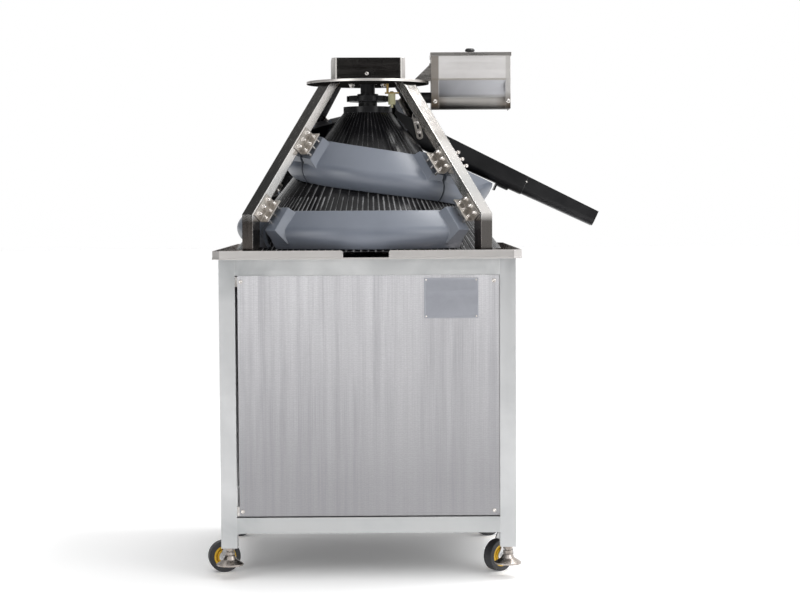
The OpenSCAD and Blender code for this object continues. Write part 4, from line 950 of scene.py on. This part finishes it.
# %% Say where the leg frames stand
CONE_TOP_R, CONE_TOP, CONE_SHARE = 81.6, 1471, 0.8
LOW, HIGH = 1027, 1150
LOW_RISES = (0, 0, 66, 84, 147, 210, 273, 336)
HIGH_RISES = (0, 0, 62, 106, 169.5, 233, 296.5, 360)
BRACKET_OUT, BRACKET_T, LEG_HALF = 102, 4, 25
BOLT_OUT, STUD_Y, STEP = 126, 46, 28
FIRST_LEG, FIRST_DROP, MORE_DROP = -45, 2, 20
LEAN = math.atan(CONE_SHARE)


def leg_frame(leg):
    """Frame at a leg, in millimetres: X off the cone's surface, Z up the cone."""
    low = LOW + LOW_RISES[leg]
    out = CONE_TOP_R + CONE_SHARE * (CONE_TOP - low)
    turn = Matrix.Rotation(math.radians(FIRST_LEG - 90 * leg), 4, "Z")
    return turn @ Matrix.Translation((out, 0, low)) @ Matrix.Rotation(-LEAN, 4, "Y")


def bracket_up(leg):
    """How far up the cone a bracket has its middle. Higher brackets sit lower on their track."""
    drop = FIRST_DROP + MORE_DROP * min(1, max(0, (leg - 1) / 3))
    wall = HIGH + HIGH_RISES[leg] - LOW - LOW_RISES[leg]
    return (wall - drop - BRACKET_OUT * math.sin(LEAN)) / math.cos(LEAN)


print(f"cone leans {math.degrees(LEAN):.1f} degrees")

# %% Seat a fastener and copy it
def seat(point, axis, frame_here=Matrix()):
    """A fastener's place in metres, from its foot in millimetres and its axis."""
    turn = Vector(axis).to_track_quat("Z", "Y").to_matrix().to_4x4()
    stand = frame_here @ Matrix.Translation(point) @ turn
    stand.translation *= MM
    return stand


def spread(kind, places, name, finish, body="machine"):
    """Copies a fastener to its places and joins the copies into one piece."""
    made = []
    for place in places:
        copy = own_copy(kind, name)
        copy.data.transform(place)
        made.append(copy)
    hold(*made)
    if len(made) > 1:
        bpy.ops.object.join()
    settle(bpy.context.object, name, finish, body)


print("seats ready")

# %% Bolt the brackets to the legs and to the studs
LONG_END = (3, 1)
leg_places, long_places, stud_places = [], [], []
for segment in range(len(TRACKS)):
    for end in (0, 1):
        leg, side = segment + end, 1 if end else -1
        here, middle = leg_frame(leg), bracket_up(leg)
        bolts = long_places if (segment, end) == LONG_END else leg_places
        for k in (-1, 0, 1):
            along = middle + k * STEP
            bolt_foot = (BOLT_OUT, side * (LEG_HALF + BRACKET_T), along)
            stud_foot = (BRACKET_OUT + BRACKET_T, side * STUD_Y, along)
            bolts.append(seat(bolt_foot, (0, side, 0), here))
            stud_places.append(seat(stud_foot, (1, 0, 0), here))
spread(leg_bolt, leg_places, "leg_bolts", bolt_steel)
spread(long_bolt, long_places, "long_leg_bolts", bolt_steel)
spread(stud_nut, stud_places, "stud_nuts", bolt_steel)
print(f"{len(leg_places)} leg bolts and {len(stud_places)} stud nuts")

# %% [markdown]
# Each of the four panels has a screw near every corner. One panel's places are worked out,
# and a quarter turn gives the next one's. The cover has a screw in front and one behind.

# %% Screw on the panels and the cover
TO_VIEWER, TO_BACK = (0, -1, 0), (0, 1, 0)
PANEL_Y, SCREW_X, SCREW_HEIGHTS = -457, 392, (215, 932)
panel_places = []
for quarter in range(4):
    turn = Matrix.Rotation(math.radians(90 * quarter), 4, "Z")
    for x in (-SCREW_X, SCREW_X):
        for z in SCREW_HEIGHTS:
            panel_places.append(seat((x, PANEL_Y, z), TO_VIEWER, turn))
spread(panel_screw, panel_places, "panel_screws", bolt_steel)

COVER_YAW, COVER_HALF, COVER_SCREW = math.radians(3), 100, (7, 1595)
cover_turn = Matrix.Rotation(COVER_YAW, 4, "Z")
cover_places = [seat((-COVER_SCREW[0], -COVER_HALF, COVER_SCREW[1]), TO_VIEWER, cover_turn),
                seat((COVER_SCREW[0], COVER_HALF, COVER_SCREW[1]), TO_BACK, cover_turn)]
spread(panel_screw, cover_places, "cover_screws", bolt_steel)
print(f"{len(panel_places)} panel screws, {len(cover_places)} cover screws")

# %% [markdown]
# Bolts hold the top bearing from below, the chute's strap and the flour box, and a rivet
# holds the chute. Each sits on the face that it clamps, so its foot lies in that face.

# %% Bolt the bearing, the strap, the chute and the flour box
BEARING_X, BEARING_Y, PLATE_LOW = 53, 30, 1566
STRAP_BOLTS = ((162, 12, 1440), (169, 12, 1407))
BOX_BOLTS = ((222, -80, 1505), (462, -80, 1505))
CHUTE_RIVET = (529, 15, 1241)
bearing_places = [seat((x, y, PLATE_LOW), (0, 0, -1))
                  for x in (-BEARING_X, BEARING_X) for y in (-BEARING_Y, BEARING_Y)]
spread(cap_bolt, bearing_places, "bearing_bolts", bolt_steel)
strap_places = [seat(foot, TO_VIEWER) for foot in STRAP_BOLTS]
spread(small_bolt, strap_places, "strap_bolts", bolt_steel)
box_places = [seat(foot, TO_VIEWER) for foot in BOX_BOLTS]
spread(small_bolt, box_places, "box_bolts", bolt_steel)
spread(rivet, [seat(CHUTE_RIVET, TO_VIEWER)], "chute_rivet", bolt_steel)
print("bearing, strap, box and chute fastened")

# %% [markdown]
# A wheel's axle ends in a nut on either cheek of its fork. A caster trails behind its own
# upright axis, so the nuts take the caster's heading, and they ride on it and not on the wheel.

# %% Nuts on the caster axles
CASTER_AT, TRAIL, WHEEL_Z, CHEEK_OUT = (435, 307), 30, 50, 21
HEADINGS = {"front_left": 195, "front_right": 220, "rear_left": 165, "rear_right": 200}
for corner in CORNERS:
    x = -CASTER_AT[0] if corner.endswith("left") else CASTER_AT[0]
    y = -CASTER_AT[1] if corner.startswith("front") else CASTER_AT[1]
    heading = Matrix.Rotation(math.radians(HEADINGS[corner]), 4, "Z")
    wheel = Matrix.Translation((x, y, 0)) @ heading @ Matrix.Translation((TRAIL, 0, WHEEL_Z))
    axle_places = [seat((0, side * CHEEK_OUT, 0), (0, side, 0), wheel) for side in (-1, 1)]
    spread(cap_bolt, axle_places, "axle_nuts_" + corner, fork_zinc, body="caster_" + corner)
print("axle nuts on four casters")

# %% [markdown]
# ## The plate on the front
# A thin aluminium plate is riveted to the front panel. It could be a flat box, but a real
# plate has a raised border, so its face is inset and pressed in by a fraction of a millimetre.
# The fasteners' patterns at the origin have then done their work and are removed.

# %% Model the plate
PLATE_X, PLATE_Z, PLATE_THICK = (176, 344), (816, 941), 1.2
BORDER, BORDER_STEP, PRESSED, ROUNDING = 3, 0.5, 0.4, 0.3
plate_size = Vector((PLATE_X[1] - PLATE_X[0], PLATE_THICK, PLATE_Z[1] - PLATE_Z[0]))
plate_middle = Vector((sum(PLATE_X) / 2, PANEL_Y - PLATE_THICK / 2, sum(PLATE_Z) / 2))
plate = begin(bpy.ops.mesh.primitive_cube_add, "front_plate", size=1,
              scale=plate_size * MM, location=plate_middle * MM)
pick(plate, lambda face: face.normal.y < -0.9)
bpy.ops.mesh.inset(thickness=BORDER * MM)
bpy.ops.mesh.inset(thickness=BORDER_STEP * MM)
bpy.ops.transform.translate(value=(0, PRESSED * MM, 0))
bpy.ops.object.mode_set(mode="OBJECT")
rounding = plate.modifiers.new("rounding", "BEVEL")
rounding.width = ROUNDING * MM
rounding.segments = 2
hold(plate)
bpy.ops.object.modifier_apply(modifier=rounding.name)
settle(plate, "front_plate", plate_aluminium)
print(f"plate has {len(plate.data.polygons)} faces")

# %% Rivet the plate on and put the patterns away
RIVET_IN = 6
rivet_places = [seat((x, PANEL_Y - PLATE_THICK + PRESSED, z), TO_VIEWER)
                for x in (PLATE_X[0] + RIVET_IN, PLATE_X[1] - RIVET_IN)
                for z in (PLATE_Z[0] + RIVET_IN, PLATE_Z[1] - RIVET_IN)]
spread(rivet, rivet_places, "plate_rivets", bolt_steel)
for kind in (leg_bolt, long_bolt, stud_nut, panel_screw, rivet, cap_bolt, small_bolt):
    bpy.data.objects.remove(kind)
print("plate riveted on")

# %% Finish
print("scene finished")
